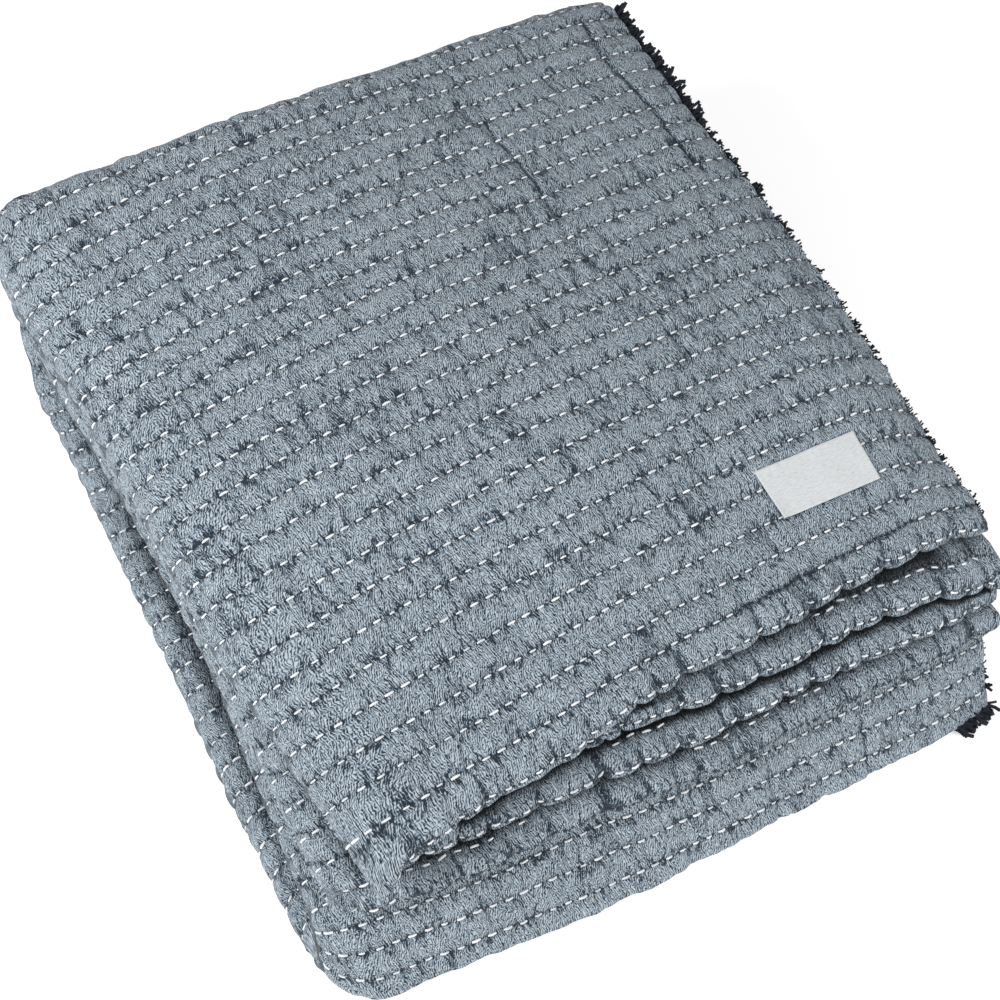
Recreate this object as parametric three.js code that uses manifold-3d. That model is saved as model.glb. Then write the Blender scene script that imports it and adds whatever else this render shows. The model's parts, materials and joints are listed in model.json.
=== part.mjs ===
// A quilted bedspread, folded to a soft stack that lies on a table or a bed.
// The cloth is first folded to a strip of four plies, closed on the left and cut on the right.
// The strip then runs back and forth in four passes: top, round the back to the bottom, up at the
// front to the lower middle, and round an inner fold to the upper middle.
// Millimetres, +Z up. +X follows the stitch rows towards the fringed edge, +Y runs to the back fold.
import * as THREE from "three";
import { mergeVertices } from "three/addons/utils/BufferGeometryUtils.js";
import Module from "manifold-3d";

// Driving sizes of the cloth and the stack
const STACK_HEIGHT = 168;
const PASSES = 4;
const PASS_GAP = 2.2;
const PLIES = 4;
const PLY_SLIT = 1.4;
const SLIT_DEPTH = 60;
const NOTCH_DEPTH = [9, 42, 9];
const ROW_SPACING = 19.3;
const FIRST_ROW = 274;
const PUFF = 2.6;
const BACK_LINE = 300;

// How far the top has sagged towards the left, the front and the right edge
const SAG = {
  limit: 75,
  leftFrom: 30,
  leftRate: 0.57e-3,
  leftRateFront: 0.22e-3,
  frontFrom: 33,
  frontRate: 0.95e-3,
  rightFrom: 190,
  rightRate: 3.0e-3,
  rightRateFront: 5.5e-3,
};

// Levels of the four passes, from the floor up
const LEVEL = { bottom: 0, lower: 1, upper: 2, top: 3 };

// Where the left folds and the right cut edges stand, from the back to the front
const SIDE_LINES = [
  { y: 300, bottom: -240, lower: -236, upper: -238, top: -242, rightBottom: 236, rightTop: 249 },
  { y: 230, bottom: -247, lower: -238, upper: -238, top: -241, rightBottom: 238, rightTop: 243 },
  { y: 150, bottom: -246, lower: -233, upper: -232, top: -235, rightBottom: 239, rightTop: 238 },
  { y: 50, bottom: -248, lower: -229, upper: -229, top: -230, rightBottom: 239, rightTop: 236 },
  { y: -50, bottom: -250, lower: -230, upper: -229, top: -229, rightBottom: 238, rightTop: 238 },
  { y: -130, bottom: -252, lower: -236, upper: -231, top: -219, rightBottom: 236, rightTop: 241 },
  { y: -200, bottom: -251, lower: -241, upper: -232, top: -211, rightBottom: 231, rightTop: 243 },
  { y: -300, bottom: -246, lower: -243, upper: -234, top: -202, rightBottom: 222, rightTop: 239 },
];

// The front edge of each layer, from the left to the right
const FRONT_LINES = [
  { x: -240, lipOne: -243, lipTwo: -226, lipThree: -206, lipFour: -218, base: -258 },
  { x: -209, lipOne: -233, lipTwo: -213, lipThree: -210, lipFour: -222, base: -265 },
  { x: -190, lipOne: -219, lipTwo: -207, lipThree: -210, lipFour: -226, base: -267 },
  { x: -165, lipOne: -213, lipTwo: -206, lipThree: -213, lipFour: -231, base: -271 },
  { x: -130, lipOne: -210, lipTwo: -206, lipThree: -218, lipFour: -235, base: -276 },
  { x: -75, lipOne: -210, lipTwo: -206, lipThree: -222, lipFour: -238, base: -284 },
  { x: -35, lipOne: -204, lipTwo: -209, lipThree: -229, lipFour: -245, base: -287 },
  { x: 20, lipOne: -203, lipTwo: -218, lipThree: -234, lipFour: -251, base: -289 },
  { x: 80, lipOne: -205, lipTwo: -222, lipThree: -236, lipFour: -253, base: -293 },
  { x: 130, lipOne: -202, lipTwo: -223, lipThree: -239, lipFour: -255, base: -296 },
  { x: 180, lipOne: -203, lipTwo: -228, lipThree: -244, lipFour: -258, base: -299 },
  { x: 220, lipOne: -205, lipTwo: -238, lipThree: -245, lipFour: -259, base: -300 },
  { x: 245, lipOne: -212, lipTwo: -243, lipThree: -245, lipFour: -258, base: -298 },
];

// The front fold's outer face: how far it stands back from the base line and from the fold's
// top line, as shares of the distance between them, and its share of the fold's height
const FRONT_FACE = [
  { along: 0.0, share: 0.0, back: 34, rise: 0.0 },
  { along: 0.14, share: 0.0, back: 12, rise: 0.0 },
  { along: 0.24, share: 0.0, back: 2.5, rise: 0.06 },
  { along: 0.34, share: 0.02, back: 0, rise: 0.16 },
  { along: 0.56, share: 0.42, back: 0, rise: 0.5 },
  { along: 0.8, share: 0.86, back: 0, rise: 0.86 },
  { along: 0.9, share: 1.0, back: 4, rise: 0.98 },
  { along: 1.0, share: 1.0, back: 14, rise: 1.0 },
];

const clamp01 = (v) => Math.min(1, Math.max(0, v));
const lerp = (a, b, t) => a + (b - a) * t;

// Reads a column of a table between its rows, along the key column
function column(table, key, at, name) {
  const rising = table[0][key] < table[table.length - 1][key];
  const rows = rising ? table : [...table].reverse();
  let i = 0;
  while (i < rows.length - 2 && at > rows[i + 1][key]) {
    i += 1;
  }
  const t = clamp01((at - rows[i][key]) / (rows[i + 1][key] - rows[i][key]));
  const smooth = t * t * (3 - 2 * t);
  return lerp(rows[i][name], rows[i + 1][name], lerp(t, smooth, 0.5));
}

// Height of the stack's top over the floor
function topHeight(x, y) {
  const left = Math.max(0, SAG.leftFrom - x);
  const front = Math.max(0, SAG.frontFrom - y);
  const right = Math.max(0, x - SAG.rightFrom);
  const leftRate = SAG.leftRate + SAG.leftRateFront * clamp01((FIRST_ROW - y) / 460);
  const shoulder = clamp01((100 - y) / 230) * (1 - 0.7 * clamp01((-150 - y) / 60));
  const rightRate = SAG.rightRate + SAG.rightRateFront * shoulder;
  const sag = leftRate * left * left + SAG.frontRate * front * front + rightRate * right * right;
  return STACK_HEIGHT - SAG.limit * Math.tanh(sag / SAG.limit);
}

// Places of the left fold and the right edge at a level, which is whole on a pass
function leftLine(y, level) {
  const names = ["bottom", "lower", "upper", "top"];
  const k = Math.min(PASSES - 2, Math.floor(level));
  return lerp(column(SIDE_LINES, "y", y, names[k]), column(SIDE_LINES, "y", y, names[k + 1]), level - k);
}

function rightLine(y, level) {
  const bottom = column(SIDE_LINES, "y", y, "rightBottom");
  const top = column(SIDE_LINES, "y", y, "rightTop");
  return lerp(bottom, top, level / (PASSES - 1));
}

// A pass's surface height: across is +1 on the side that continues the stack's outside
function passHeight(level, across, x, y) {
  const height = topHeight(x, y);
  const low = (height * level) / PASSES + (level > 0 ? PASS_GAP / 2 : 0);
  const high = (height * (level + 1)) / PASSES - (level < PASSES - 1 ? PASS_GAP / 2 : 0);
  const side = level === LEVEL.top || level === LEVEL.lower ? 1 : -1;
  return (low + high) / 2 + (side * across * (high - low)) / 2;
}

// How far the left fold of each pass rounds off, from the bottom pass to the top one
const LEFT_ROUNDING = { insets: [22, 26, 32, 44], degrees: [13, 30, 48, 68, 90] };

// X of a place across the strip: u runs from -1 to 0 round the left fold and on to 1 at the right
function xAt(u, y, level) {
  const k = Math.min(PASSES - 2, Math.floor(level));
  const inset = lerp(LEFT_ROUNDING.insets[k], LEFT_ROUNDING.insets[k + 1], level - k);
  const shoulder = leftLine(y, level) + inset;
  return u < 0 ? shoulder + inset * u : lerp(shoulder, rightLine(y, level), u);
}

const frontAt = (x, name) => column(FRONT_LINES, "x", x, name);

// Folds: where each starts, how far its outer and inner sides reach past that, and its roundness
const BACK_FOLD = { outerFrom: 258, outerReach: BACK_LINE - PUFF - 258, innerFrom: 225, innerReach: 31 };
const BACK_BULGE = [
  { x: -240, out: 36 },
  { x: -190, out: 29 },
  { x: -140, out: 21 },
  { x: -80, out: 11 },
  { x: 0, out: 4 },
  { x: 60, out: 0 },
];
const INNER_FOLD = { from: 212, outerReach: 41, innerReach: 1.2 };
const FRONT_TURN = { underLip: 5, thickness: 30, innerReach: 3 };
const FOLD_SQUARENESS = 2.5;

// A fold's curve from pass to pass: t runs from 0 to 1, and out is the share of its reach
function foldPoint(u, t, across, fromLevel, toLevel, from, reach) {
  const angle = Math.PI * t;
  const level = lerp(fromLevel, toLevel, t);
  const power = 2 / FOLD_SQUARENESS;
  const y = from + reach(xAt(u, from, level)) * Math.pow(Math.max(0, Math.sin(angle)), power);
  const x = xAt(u, y, level);
  const start = passHeight(fromLevel, across, x, from);
  const end = passHeight(toLevel, across, x, from);
  const swing = Math.sign(Math.cos(angle)) * Math.pow(Math.abs(Math.cos(angle)), power);
  return new THREE.Vector3(x, y, (start + end) / 2 + ((start - end) / 2) * swing);
}

// The front turn from the bottom pass up to the lower one leans back as it rises
function frontTurnPoint(u, t, across) {
  const near = xAt(u, FRONT_LINES[5].base, t);
  const base = frontAt(near, "base") + PUFF;
  const top = frontAt(near, "lipFour") + FRONT_TURN.underLip;
  const face = (name) => column(FRONT_FACE, "along", t, name);
  const outerY = lerp(base, top, face("share")) + face("back");
  const outerX = xAt(u, outerY, t);
  const outerZ = face("rise") * passHeight(LEVEL.lower, 1, outerX, outerY);
  const tip = lerp(base, top, 0.5) + FRONT_TURN.thickness;
  const innerY = tip + FRONT_TURN.innerReach * (1 - Math.sin(Math.PI * t));
  const innerX = xAt(u, innerY, t);
  const low = passHeight(LEVEL.bottom, -1, innerX, innerY);
  const high = passHeight(LEVEL.lower, -1, innerX, innerY);
  const innerZ = lerp(low, high, (1 - Math.cos(Math.PI * t)) / 2);
  const inner = new THREE.Vector3(innerX, innerY, innerZ);
  return inner.lerp(new THREE.Vector3(outerX, outerY, outerZ), (across + 1) / 2);
}

// A flat pass between two places: each end is a distance along Y
function passPoint(u, t, across, level, fromY, toY) {
  const y = lerp(fromY, toY, t);
  const x = xAt(u, y, level);
  return new THREE.Vector3(x, y, passHeight(level, across, x, y));
}

// Where the folds begin for a layer of the strip
const backFrom = (across) => lerp(BACK_FOLD.innerFrom, BACK_FOLD.outerFrom, (across + 1) / 2);
const backReach = (across) => (x) => {
  const bulge = column(BACK_BULGE, "x", x, "out");
  const outside = (across + 1) / 2;
  return lerp(BACK_FOLD.innerReach + bulge * 0.4, BACK_FOLD.outerReach + bulge, outside);
};
const innerReach = (across) => () =>
  lerp(INNER_FOLD.outerReach, INNER_FOLD.innerReach, (across + 1) / 2);

// The runs of the strip in order, each from t = 0 to 1, after the hem of the top pass
const RUNS = {
  top: (u, t, across, hem) => passPoint(u, t, across, LEVEL.top, hem, backFrom(across)),
  back: (u, t, across) =>
    foldPoint(u, t, across, LEVEL.top, LEVEL.bottom, backFrom(across), backReach(across)),
  bottom: (u, t, across) =>
    passPoint(u, t, across, LEVEL.bottom, backFrom(across), frontTurnPoint(u, 0, across).y),
  front: (u, t, across) => frontTurnPoint(u, t, across),
  lower: (u, t, across) =>
    passPoint(u, t, across, LEVEL.lower, frontTurnPoint(u, 1, across).y, INNER_FOLD.from),
  inner: (u, t, across) =>
    foldPoint(u, t, across, LEVEL.lower, LEVEL.upper, INNER_FOLD.from, innerReach(across)),
  upper: (u, t, across, hem) => passPoint(u, t, across, LEVEL.upper, INNER_FOLD.from, hem),
};

// The four plies of the strip: their faces across it, and the lips that their hems make
const SLIT_SHARE = PLY_SLIT / (STACK_HEIGHT / PASSES);
const PLY_FACES = Array.from({ length: PLIES }, (_, i) => ({
  outside: 1 - (2 * i) / PLIES - (i > 0 ? SLIT_SHARE : 0),
  inside: 1 - (2 * (i + 1)) / PLIES + (i < PLIES - 1 ? SLIT_SHARE : 0),
  topLip: i < PLIES / 2 ? "lipOne" : "lipTwo",
  upperLip: i < PLIES / 2 ? "lipFour" : "lipThree",
}));

// Stations from the left fold to the cut edges: round is the strip's share of its thickness
const MAIN_STATIONS = 12;
const SLIT_FROM = 1 - SLIT_DEPTH / 440;
const STATIONS = LEFT_ROUNDING.degrees.map((degrees) => {
  const angle = (degrees * Math.PI) / 180;
  return { u: -Math.cos(angle), round: Math.sin(angle) };
});
for (let i = 1; i <= MAIN_STATIONS; i += 1) {
  STATIONS.push({ u: (SLIT_FROM * i) / MAIN_STATIONS, round: 1 });
}
const SLIT_STATION = STATIONS.length - 1;
STATIONS.push({ u: (SLIT_FROM + 1) / 2, round: 1 });
STATIONS.push({ u: 1, round: 1 });
const HEM_TUCK = 14;

// A hem's line along Y at a station, set back where the left end rounds off
function hemLine(station, level, lip) {
  const x = xAt(station.u, FRONT_LINES[5][lip], level);
  return frontAt(x, lip) + HEM_TUCK * (1 - station.round);
}

// Half of a ply's thickness at its hem
function hemRadius(station, level, ply, hem) {
  const x = xAt(station.u, hem, level);
  const high = passHeight(level, ply.outside * station.round, x, hem);
  const low = passHeight(level, ply.inside * station.round, x, hem);
  return Math.abs(high - low) / 2;
}

const hemStart = (station, level, ply, lip) => {
  const line = hemLine(station, level, lip);
  return line + hemRadius(station, level, ply, line);
};

// The rounded nose of a ply's hem, from its outside face to its inside face
const NOSE_STEPS = 4;
function nose(station, level, ply, lip) {
  const start = hemStart(station, level, ply, lip);
  const radius = start - hemLine(station, level, lip);
  const x = xAt(station.u, start, level);
  const outside = passHeight(level, ply.outside * station.round, x, start);
  const inside = passHeight(level, ply.inside * station.round, x, start);
  const points = [];
  for (let i = 1; i < NOSE_STEPS; i += 1) {
    const angle = (Math.PI * i) / NOSE_STEPS;
    const z = (outside + inside) / 2 + ((outside - inside) / 2) * Math.cos(angle);
    points.push(new THREE.Vector3(x, start - radius * Math.sin(angle), z));
  }
  return points;
}

// Steps along the parts of the outside that show: a valley at each stitch row, a puff between
function rowSteps(run, fromEnd, offset) {
  const samples = 400;
  const middle = 0.5;
  const lengths = [0];
  let last = RUNS[run](middle, 0, 1, FRONT_LINES[5].lipOne);
  for (let i = 1; i <= samples; i += 1) {
    const next = RUNS[run](middle, i / samples, 1, FRONT_LINES[5].lipOne);
    lengths.push(lengths[i - 1] + next.distanceTo(last));
    last = next;
  }
  const total = lengths[samples];
  const steps = [];
  for (let i = 1; offset + (i * ROW_SPACING) / 2 < total - 4; i += 1) {
    const at = offset + (i * ROW_SPACING) / 2;
    const wanted = fromEnd ? total - at : at;
    const k = lengths.findIndex((v) => v >= wanted);
    steps.push({ t: k / samples, puffed: i % 2 === 1 });
  }
  return fromEnd ? steps.reverse() : steps;
}

const TOP_STEPS = rowSteps("top", true, 3.3);
const BACK_STEPS = rowSteps("back", false, 16);
const FRONT_STEPS = rowSteps("front", true, 4).filter((step) => step.t > 0.2);

// Lifts a point off the cloth's outside where it puffs up
function puff(point, run, t, station) {
  const height = PUFF * station.round;
  const angle = Math.PI * t;
  if (run === "top") {
    point.z += height;
  } else if (run === "back") {
    point.y += height * Math.sin(angle);
    point.z += height * Math.max(0, Math.cos(angle));
  } else {
    point.y -= height;
  }
  return point;
}

// Steps along each run of the strip, for its outside face and for the faces that hardly show
const even = (count) => Array.from({ length: count }, (_, i) => ({ t: i / count }));
const OUTSIDE_STEPS = {
  top: [{ t: 0 }, ...TOP_STEPS],
  back: [{ t: 0 }, ...BACK_STEPS],
  bottom: even(4),
  front: [{ t: 0 }, { t: 0.12 }, ...FRONT_STEPS],
  lower: even(6),
  inner: even(4),
  upper: even(7),
};
const PLAIN_STEPS = {
  top: even(13),
  back: even(7),
  bottom: even(4),
  front: even(6),
  lower: even(6),
  inner: even(7),
  upper: even(7),
};
const RUN_NAMES = Object.keys(OUTSIDE_STEPS);

// Where the notch between two plies ends at a hem
function notchEnd(station, level, slit, lip) {
  const above = PLY_FACES[slit];
  const below = PLY_FACES[slit + 1];
  const start = (ply) => hemStart(station, level, ply, ply[lip]);
  return Math.max(start(above), start(below)) + NOTCH_DEPTH[slit];
}

// A face of a ply along the whole strip, as points with their progress, from hem to hem.
// The slit is the one that the face looks into, or -1 on the outside of the strip.
function faceLine(station, ply, across, steps, slit) {
  const topHem = hemStart(station, LEVEL.top, ply, ply.topLip);
  const upperHem = hemStart(station, LEVEL.upper, ply, ply.upperLip);
  const w = across * station.round;
  const points = [];
  const add = (run, t, puffed = false) => {
    const hem = run === "top" ? topHem : upperHem;
    const at = RUNS[run](station.u, t, w, hem);
    points.push({ at: puffed ? puff(at, run, t, station) : at, progress: RUN_NAMES.indexOf(run) + t });
  };
  const notches = { top: 0, upper: 1 };
  if (slit >= 0) {
    notches.top = (notchEnd(station, LEVEL.top, slit, "topLip") - topHem) / (backFrom(w) - topHem);
    const depth = notchEnd(station, LEVEL.upper, slit, "upperLip") - upperHem;
    notches.upper = 1 - depth / (INNER_FOLD.from - upperHem);
    add("top", 0);
  }
  for (const run of RUN_NAMES) {
    for (const step of steps[run]) {
      const t = run === "top" ? lerp(notches.top, 1, step.t) : step.t * (run === "upper" ? notches.upper : 1);
      add(run, t, step.puffed);
    }
  }
  if (slit >= 0) {
    add("upper", notches.upper);
  }
  add("upper", 1);
  return points;
}

// All lines of a station: the two faces of each ply, and its noses at the two hems
function stationLines(station) {
  return PLY_FACES.map((ply, i) => ({
    outside: faceLine(station, ply, ply.outside, i === 0 ? OUTSIDE_STEPS : PLAIN_STEPS, i - 1),
    inside: faceLine(station, ply, ply.inside, PLAIN_STEPS, i < PLIES - 1 ? i : -1),
    topNose: nose(station, LEVEL.top, ply, ply.topLip),
    upperNose: nose(station, LEVEL.upper, ply, ply.upperLip),
  }));
}

// Gathers triangles of the cloth as corner points
const corners = [];
const triangle = (a, b, c) => corners.push(a, b, c);

// Joins two lines of the same number of points; flip turns the sheet to face the other way
function sheet(a, b, flip) {
  for (let i = 0; i + 1 < a.length; i += 1) {
    if (flip) {
      triangle(a[i], b[i], b[i + 1]);
      triangle(a[i], b[i + 1], a[i + 1]);
    } else {
      triangle(a[i], b[i + 1], b[i]);
      triangle(a[i], a[i + 1], b[i + 1]);
    }
  }
}

// Closes the end of a ply between its two faces, step by step along the strip
function ribbon(outside, inside, flip) {
  let i = 0;
  let j = 0;
  while (i + 1 < outside.length || j + 1 < inside.length) {
    const nextOut = i + 1 < outside.length ? outside[i + 1].progress : Infinity;
    const nextIn = j + 1 < inside.length ? inside[j + 1].progress : Infinity;
    const third = nextOut <= nextIn ? outside[i + 1].at : inside[j + 1].at;
    if (flip) {
      triangle(outside[i].at, third, inside[j].at);
    } else {
      triangle(outside[i].at, inside[j].at, third);
    }
    if (nextOut <= nextIn) {
      i += 1;
    } else {
      j += 1;
    }
  }
}

// Closes a nose's end as a fan from the outside face
function noseEnd(from, points, to, flip) {
  const line = [...points, to];
  for (let i = 0; i + 1 < line.length; i += 1) {
    if (flip) {
      triangle(from, line[i + 1], line[i]);
    } else {
      triangle(from, line[i], line[i + 1]);
    }
  }
}

const lineOf = (face, from, to) => face.slice(from, to).map((point) => point.at);
const profile = STATIONS.map(stationLines);

// The parts of a ply's faces that show: the notches everywhere, the rest only where slits part them
function faceSheets(here, next, slitOpen, isOuter, flip) {
  const count = here.length;
  if (isOuter || slitOpen) {
    sheet(lineOf(here, 0, count), lineOf(next, 0, count), flip);
  } else {
    sheet(lineOf(here, 0, 2), lineOf(next, 0, 2), flip);
    sheet(lineOf(here, count - 2, count), lineOf(next, count - 2, count), flip);
  }
}

for (let s = 0; s + 1 < STATIONS.length; s += 1) {
  const slitOpen = s >= SLIT_STATION;
  for (let p = 0; p < PLIES; p += 1) {
    const here = profile[s][p];
    const next = profile[s + 1][p];
    faceSheets(here.outside, next.outside, slitOpen, p === 0, true);
    faceSheets(here.inside, next.inside, slitOpen, p === PLIES - 1, false);
    const around = (ply, name, at) => [ply.outside.at(at).at, ...ply[name], ply.inside.at(at).at];
    sheet(around(here, "topNose", 0), around(next, "topNose", 0), false);
    sheet(around(here, "upperNose", -1), around(next, "upperNose", -1), true);
    if (p < PLIES - 1 && !slitOpen) {
      const hereBelow = profile[s][p + 1].outside;
      const nextBelow = profile[s + 1][p + 1].outside;
      const notchWall = (a, b, at) => [a.at(at).at, b.at(at).at];
      sheet(notchWall(here.inside, hereBelow, 1), notchWall(next.inside, nextBelow, 1), false);
      sheet(notchWall(here.inside, hereBelow, -2), notchWall(next.inside, nextBelow, -2), true);
    }
  }
}

// The web between two plies at a station, from notch to notch
function web(station, flip) {
  for (let p = 0; p < PLIES - 1; p += 1) {
    const above = profile[station][p].inside;
    const below = profile[station][p + 1].outside;
    sheet(lineOf(above, 1, above.length - 1), lineOf(below, 1, below.length - 1), flip);
  }
}

function endCap(station, flip) {
  for (const ply of profile[station]) {
    ribbon(ply.outside, ply.inside, flip);
    noseEnd(ply.outside.at(0).at, ply.topNose, ply.inside.at(0).at, flip);
    noseEnd(ply.outside.at(-1).at, ply.upperNose, ply.inside.at(-1).at, !flip);
  }
}

endCap(0, true);
web(0, false);
endCap(STATIONS.length - 1, false);
web(SLIT_STATION, true);

function solidMesh(name, points, material) {
  const soup = new THREE.BufferGeometry().setFromPoints(points);
  const geometry = mergeVertices(soup, 1e-4);
  geometry.computeVertexNormals();
  const mesh = new THREE.Mesh(geometry, material);
  mesh.name = name;
  return mesh;
}

// The label lies on the puffs near the right front corner of the top
const LABEL = { thickness: 1, above: 0.35, across: 8, along: 5 };
const LABEL_CORNERS = {
  rearLeft: { x: 107, y: -119 },
  rearRight: { x: 183, y: -123 },
  frontLeft: { x: 109, y: -152 },
  frontRight: { x: 183, y: -156.5 },
};

function labelPoint(i, j, lift) {
  const u = i / LABEL.across;
  const v = j / LABEL.along;
  const along = (axis) =>
    lerp(
      lerp(LABEL_CORNERS.frontLeft[axis], LABEL_CORNERS.frontRight[axis], u),
      lerp(LABEL_CORNERS.rearLeft[axis], LABEL_CORNERS.rearRight[axis], u),
      v,
    );
  const x = along("x");
  const y = along("y");
  return new THREE.Vector3(x, y, topHeight(x, y) + PUFF + LABEL.above + lift);
}

function labelPoints() {
  const points = [];
  const quad = (a, b, c, d) => points.push(a, b, c, a, c, d);
  const low = (i, j) => labelPoint(i, j, 0);
  const high = (i, j) => labelPoint(i, j, LABEL.thickness);
  for (let i = 0; i < LABEL.across; i += 1) {
    for (let j = 0; j < LABEL.along; j += 1) {
      quad(high(i, j), high(i + 1, j), high(i + 1, j + 1), high(i, j + 1));
      quad(low(i, j), low(i, j + 1), low(i + 1, j + 1), low(i + 1, j));
    }
    quad(low(i, 0), low(i + 1, 0), high(i + 1, 0), high(i, 0));
    quad(high(i, LABEL.along), high(i + 1, LABEL.along), low(i + 1, LABEL.along), low(i, LABEL.along));
  }
  for (let j = 0; j < LABEL.along; j += 1) {
    quad(low(0, j + 1), low(0, j), high(0, j), high(0, j + 1));
    quad(low(LABEL.across, j), low(LABEL.across, j + 1), high(LABEL.across, j + 1), high(LABEL.across, j));
  }
  return points;
}

// The fringe: a narrow strip beside the cut edges of each pass, with locks that stand out of it
const FRINGE = { off: 1.0, thickness: 1.2, stripShare: 0.9, step: 22, rootRadius: 1.5, sink: 0.8 };
const FRINGE_PASSES = [
  { name: "fringe_top", level: 3, from: -200, to: 268, locks: 84, length: 8.5, droop: 0.2, tuft: 1.7, tuftAt: 185 },
  { name: "fringe_upper", level: 2, from: -228, to: 200, locks: 54, length: 8, droop: 0.2, tuft: 1, tuftAt: 0 },
  { name: "fringe_lower", level: 1, from: -232, to: 200, locks: 54, length: 8, droop: 0.2, tuft: 1, tuftAt: 0 },
  { name: "fringe_bottom", level: 0, from: -238, to: 240, locks: 60, length: 8.5, droop: 0.1, tuft: 1.6, tuftAt: -222 },
];

// An even spread of numbers from 0 to 1 that looks random
const scatter = (i, salt) => {
  const value = Math.sin(i * 127.1 + salt * 311.7) * 43758.5453;
  return value - Math.floor(value);
};

function fringeStrip(pass) {
  const count = Math.round((pass.to - pass.from) / FRINGE.step);
  const points = [];
  const quad = (a, b, c, d) => points.push(a, c, b, a, d, c);
  const corner = (i, out, side) => {
    const y = lerp(pass.from, pass.to, i / count);
    const x = rightLine(y, pass.level) + FRINGE.off + out * FRINGE.thickness;
    const outward = pass.level === LEVEL.top || pass.level === LEVEL.lower ? 1 : -1;
    return new THREE.Vector3(x, y, passHeight(pass.level, outward * side * FRINGE.stripShare, x, y));
  };
  for (let i = 0; i < count; i += 1) {
    const ring = (at) => [corner(at, 0, -1), corner(at, 1, -1), corner(at, 1, 1), corner(at, 0, 1)];
    const here = ring(i);
    const next = ring(i + 1);
    for (let k = 0; k < 4; k += 1) {
      const l = (k + 1) % 4;
      quad(here[k], here[l], next[l], next[k]);
    }
  }
  const front = [corner(0, 0, -1), corner(0, 1, -1), corner(0, 1, 1), corner(0, 0, 1)];
  const rear = [corner(count, 0, -1), corner(count, 1, -1), corner(count, 1, 1), corner(count, 0, 1)];
  quad(front[3], front[2], front[1], front[0]);
  quad(rear[0], rear[1], rear[2], rear[3]);
  return points;
}

// A lock of threads: three sides from a root inside the strip to a drooping tip
function lockPoints(pass, i) {
  const room = (pass.to - pass.from - 8) / pass.locks;
  const y = pass.from + 4 + room * (i + 0.5 + 0.3 * (scatter(i, pass.level) - 0.5));
  const tier = [0.84, -0.45, 0.84, 0.2][i % 4] * FRINGE.stripShare;
  const outward = pass.level === LEVEL.top || pass.level === LEVEL.lower ? 1 : -1;
  const x = rightLine(y, pass.level) + FRINGE.off + FRINGE.thickness;
  const z = passHeight(pass.level, outward * tier, x, y);
  const beyond = pass.tuftAt > 0 ? y - pass.tuftAt : pass.tuftAt - y;
  const tuft = lerp(1, pass.tuft, clamp01(0.5 + beyond / 50));
  const length = pass.length * tuft * (0.65 + 0.5 * scatter(i, pass.level + 7));
  const lean = (scatter(i, pass.level + 13) - 0.5) * room * 0.5;
  const drop = length * pass.droop * (0.3 + scatter(i, pass.level + 19));
  const ring = (out, leanShare, dropShare, radius) =>
    [90, 210, 330].map((degrees) => {
      const angle = (degrees * Math.PI) / 180;
      const side = radius * Math.cos(angle);
      const up = radius * Math.sin(angle);
      return new THREE.Vector3(x + out, y + lean * leanShare + side, z - drop * dropShare + up);
    });
  const root = ring(-FRINGE.sink, 0, 0, FRINGE.rootRadius);
  const middle = ring(length * 0.55, 0.4, 0.3, FRINGE.rootRadius * 0.8);
  const tip = new THREE.Vector3(x + length, y + lean, z - drop);
  const points = [];
  for (let k = 0; k < 3; k += 1) {
    const l = (k + 1) % 3;
    points.push(root[k], root[l], middle[k], root[l], middle[l], middle[k]);
    points.push(middle[k], middle[l], tip);
  }
  points.push(root[0], root[2], root[1]);
  return points;
}

const wasm = await Module();
wasm.setup();

function toSolid(points) {
  const soup = new THREE.BufferGeometry().setFromPoints(points);
  const merged = mergeVertices(soup, 1e-4);
  const mesh = new wasm.Mesh({
    numProp: 3,
    vertProperties: merged.attributes.position.array,
    triVerts: new Uint32Array(merged.index.array),
  });
  return new wasm.Manifold(mesh);
}

function fringeMesh(pass, material) {
  const parts = [toSolid(fringeStrip(pass))];
  for (let i = 0; i < pass.locks; i += 1) {
    parts.push(toSolid(lockPoints(pass, i)));
  }
  const joined = wasm.Manifold.union(parts).getMesh();
  const geometry = new THREE.BufferGeometry();
  geometry.setAttribute("position", new THREE.BufferAttribute(joined.vertProperties, 3));
  geometry.setIndex(new THREE.BufferAttribute(joined.triVerts, 1));
  geometry.computeVertexNormals();
  const mesh = new THREE.Mesh(geometry, material);
  mesh.name = pass.name;
  return mesh;
}

const cloth = (color) => new THREE.MeshStandardMaterial({ color, roughness: 0.95, metalness: 0 });
const GAUZE = cloth(0x87929a);
const NAVY_THREAD = cloth(0x1b2738);
const LABEL_TAPE = cloth(0xdbdedf);

const root = new THREE.Group();
root.name = "quilted_bedspread";
root.add(solidMesh("bedspread_cloth", corners, GAUZE));
root.add(solidMesh("label", labelPoints(), LABEL_TAPE));
for (const pass of FRINGE_PASSES) {
  root.add(fringeMesh(pass, NAVY_THREAD));
}

// The origin is under the middle of the whole stack, on the floor
const bounds = new THREE.Box3().setFromObject(root);
const middle = bounds.getCenter(new THREE.Vector3());
root.position.set(-middle.x, -middle.y, -bounds.min.z);

export default root;
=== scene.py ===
"""A quilted gauze bedspread, folded to a soft stack: its cloth, sewing, fringe and label.

Sizes of the stack are in millimetres in the stack's own axes: +X along the stitch rows towards
the fringed edge, +Y towards the back fold, +Z up. Meshes are turned to metres in the CAD frame.
"""

import json
import logging
import math
from collections.abc import Callable
from dataclasses import dataclass
from enum import Enum
from functools import partial

import bpy
import numpy as np
from mathutils import Matrix, Vector
from mathutils.bvhtree import BVHTree
from mathutils.geometry import delaunay_2d_cdt

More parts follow.
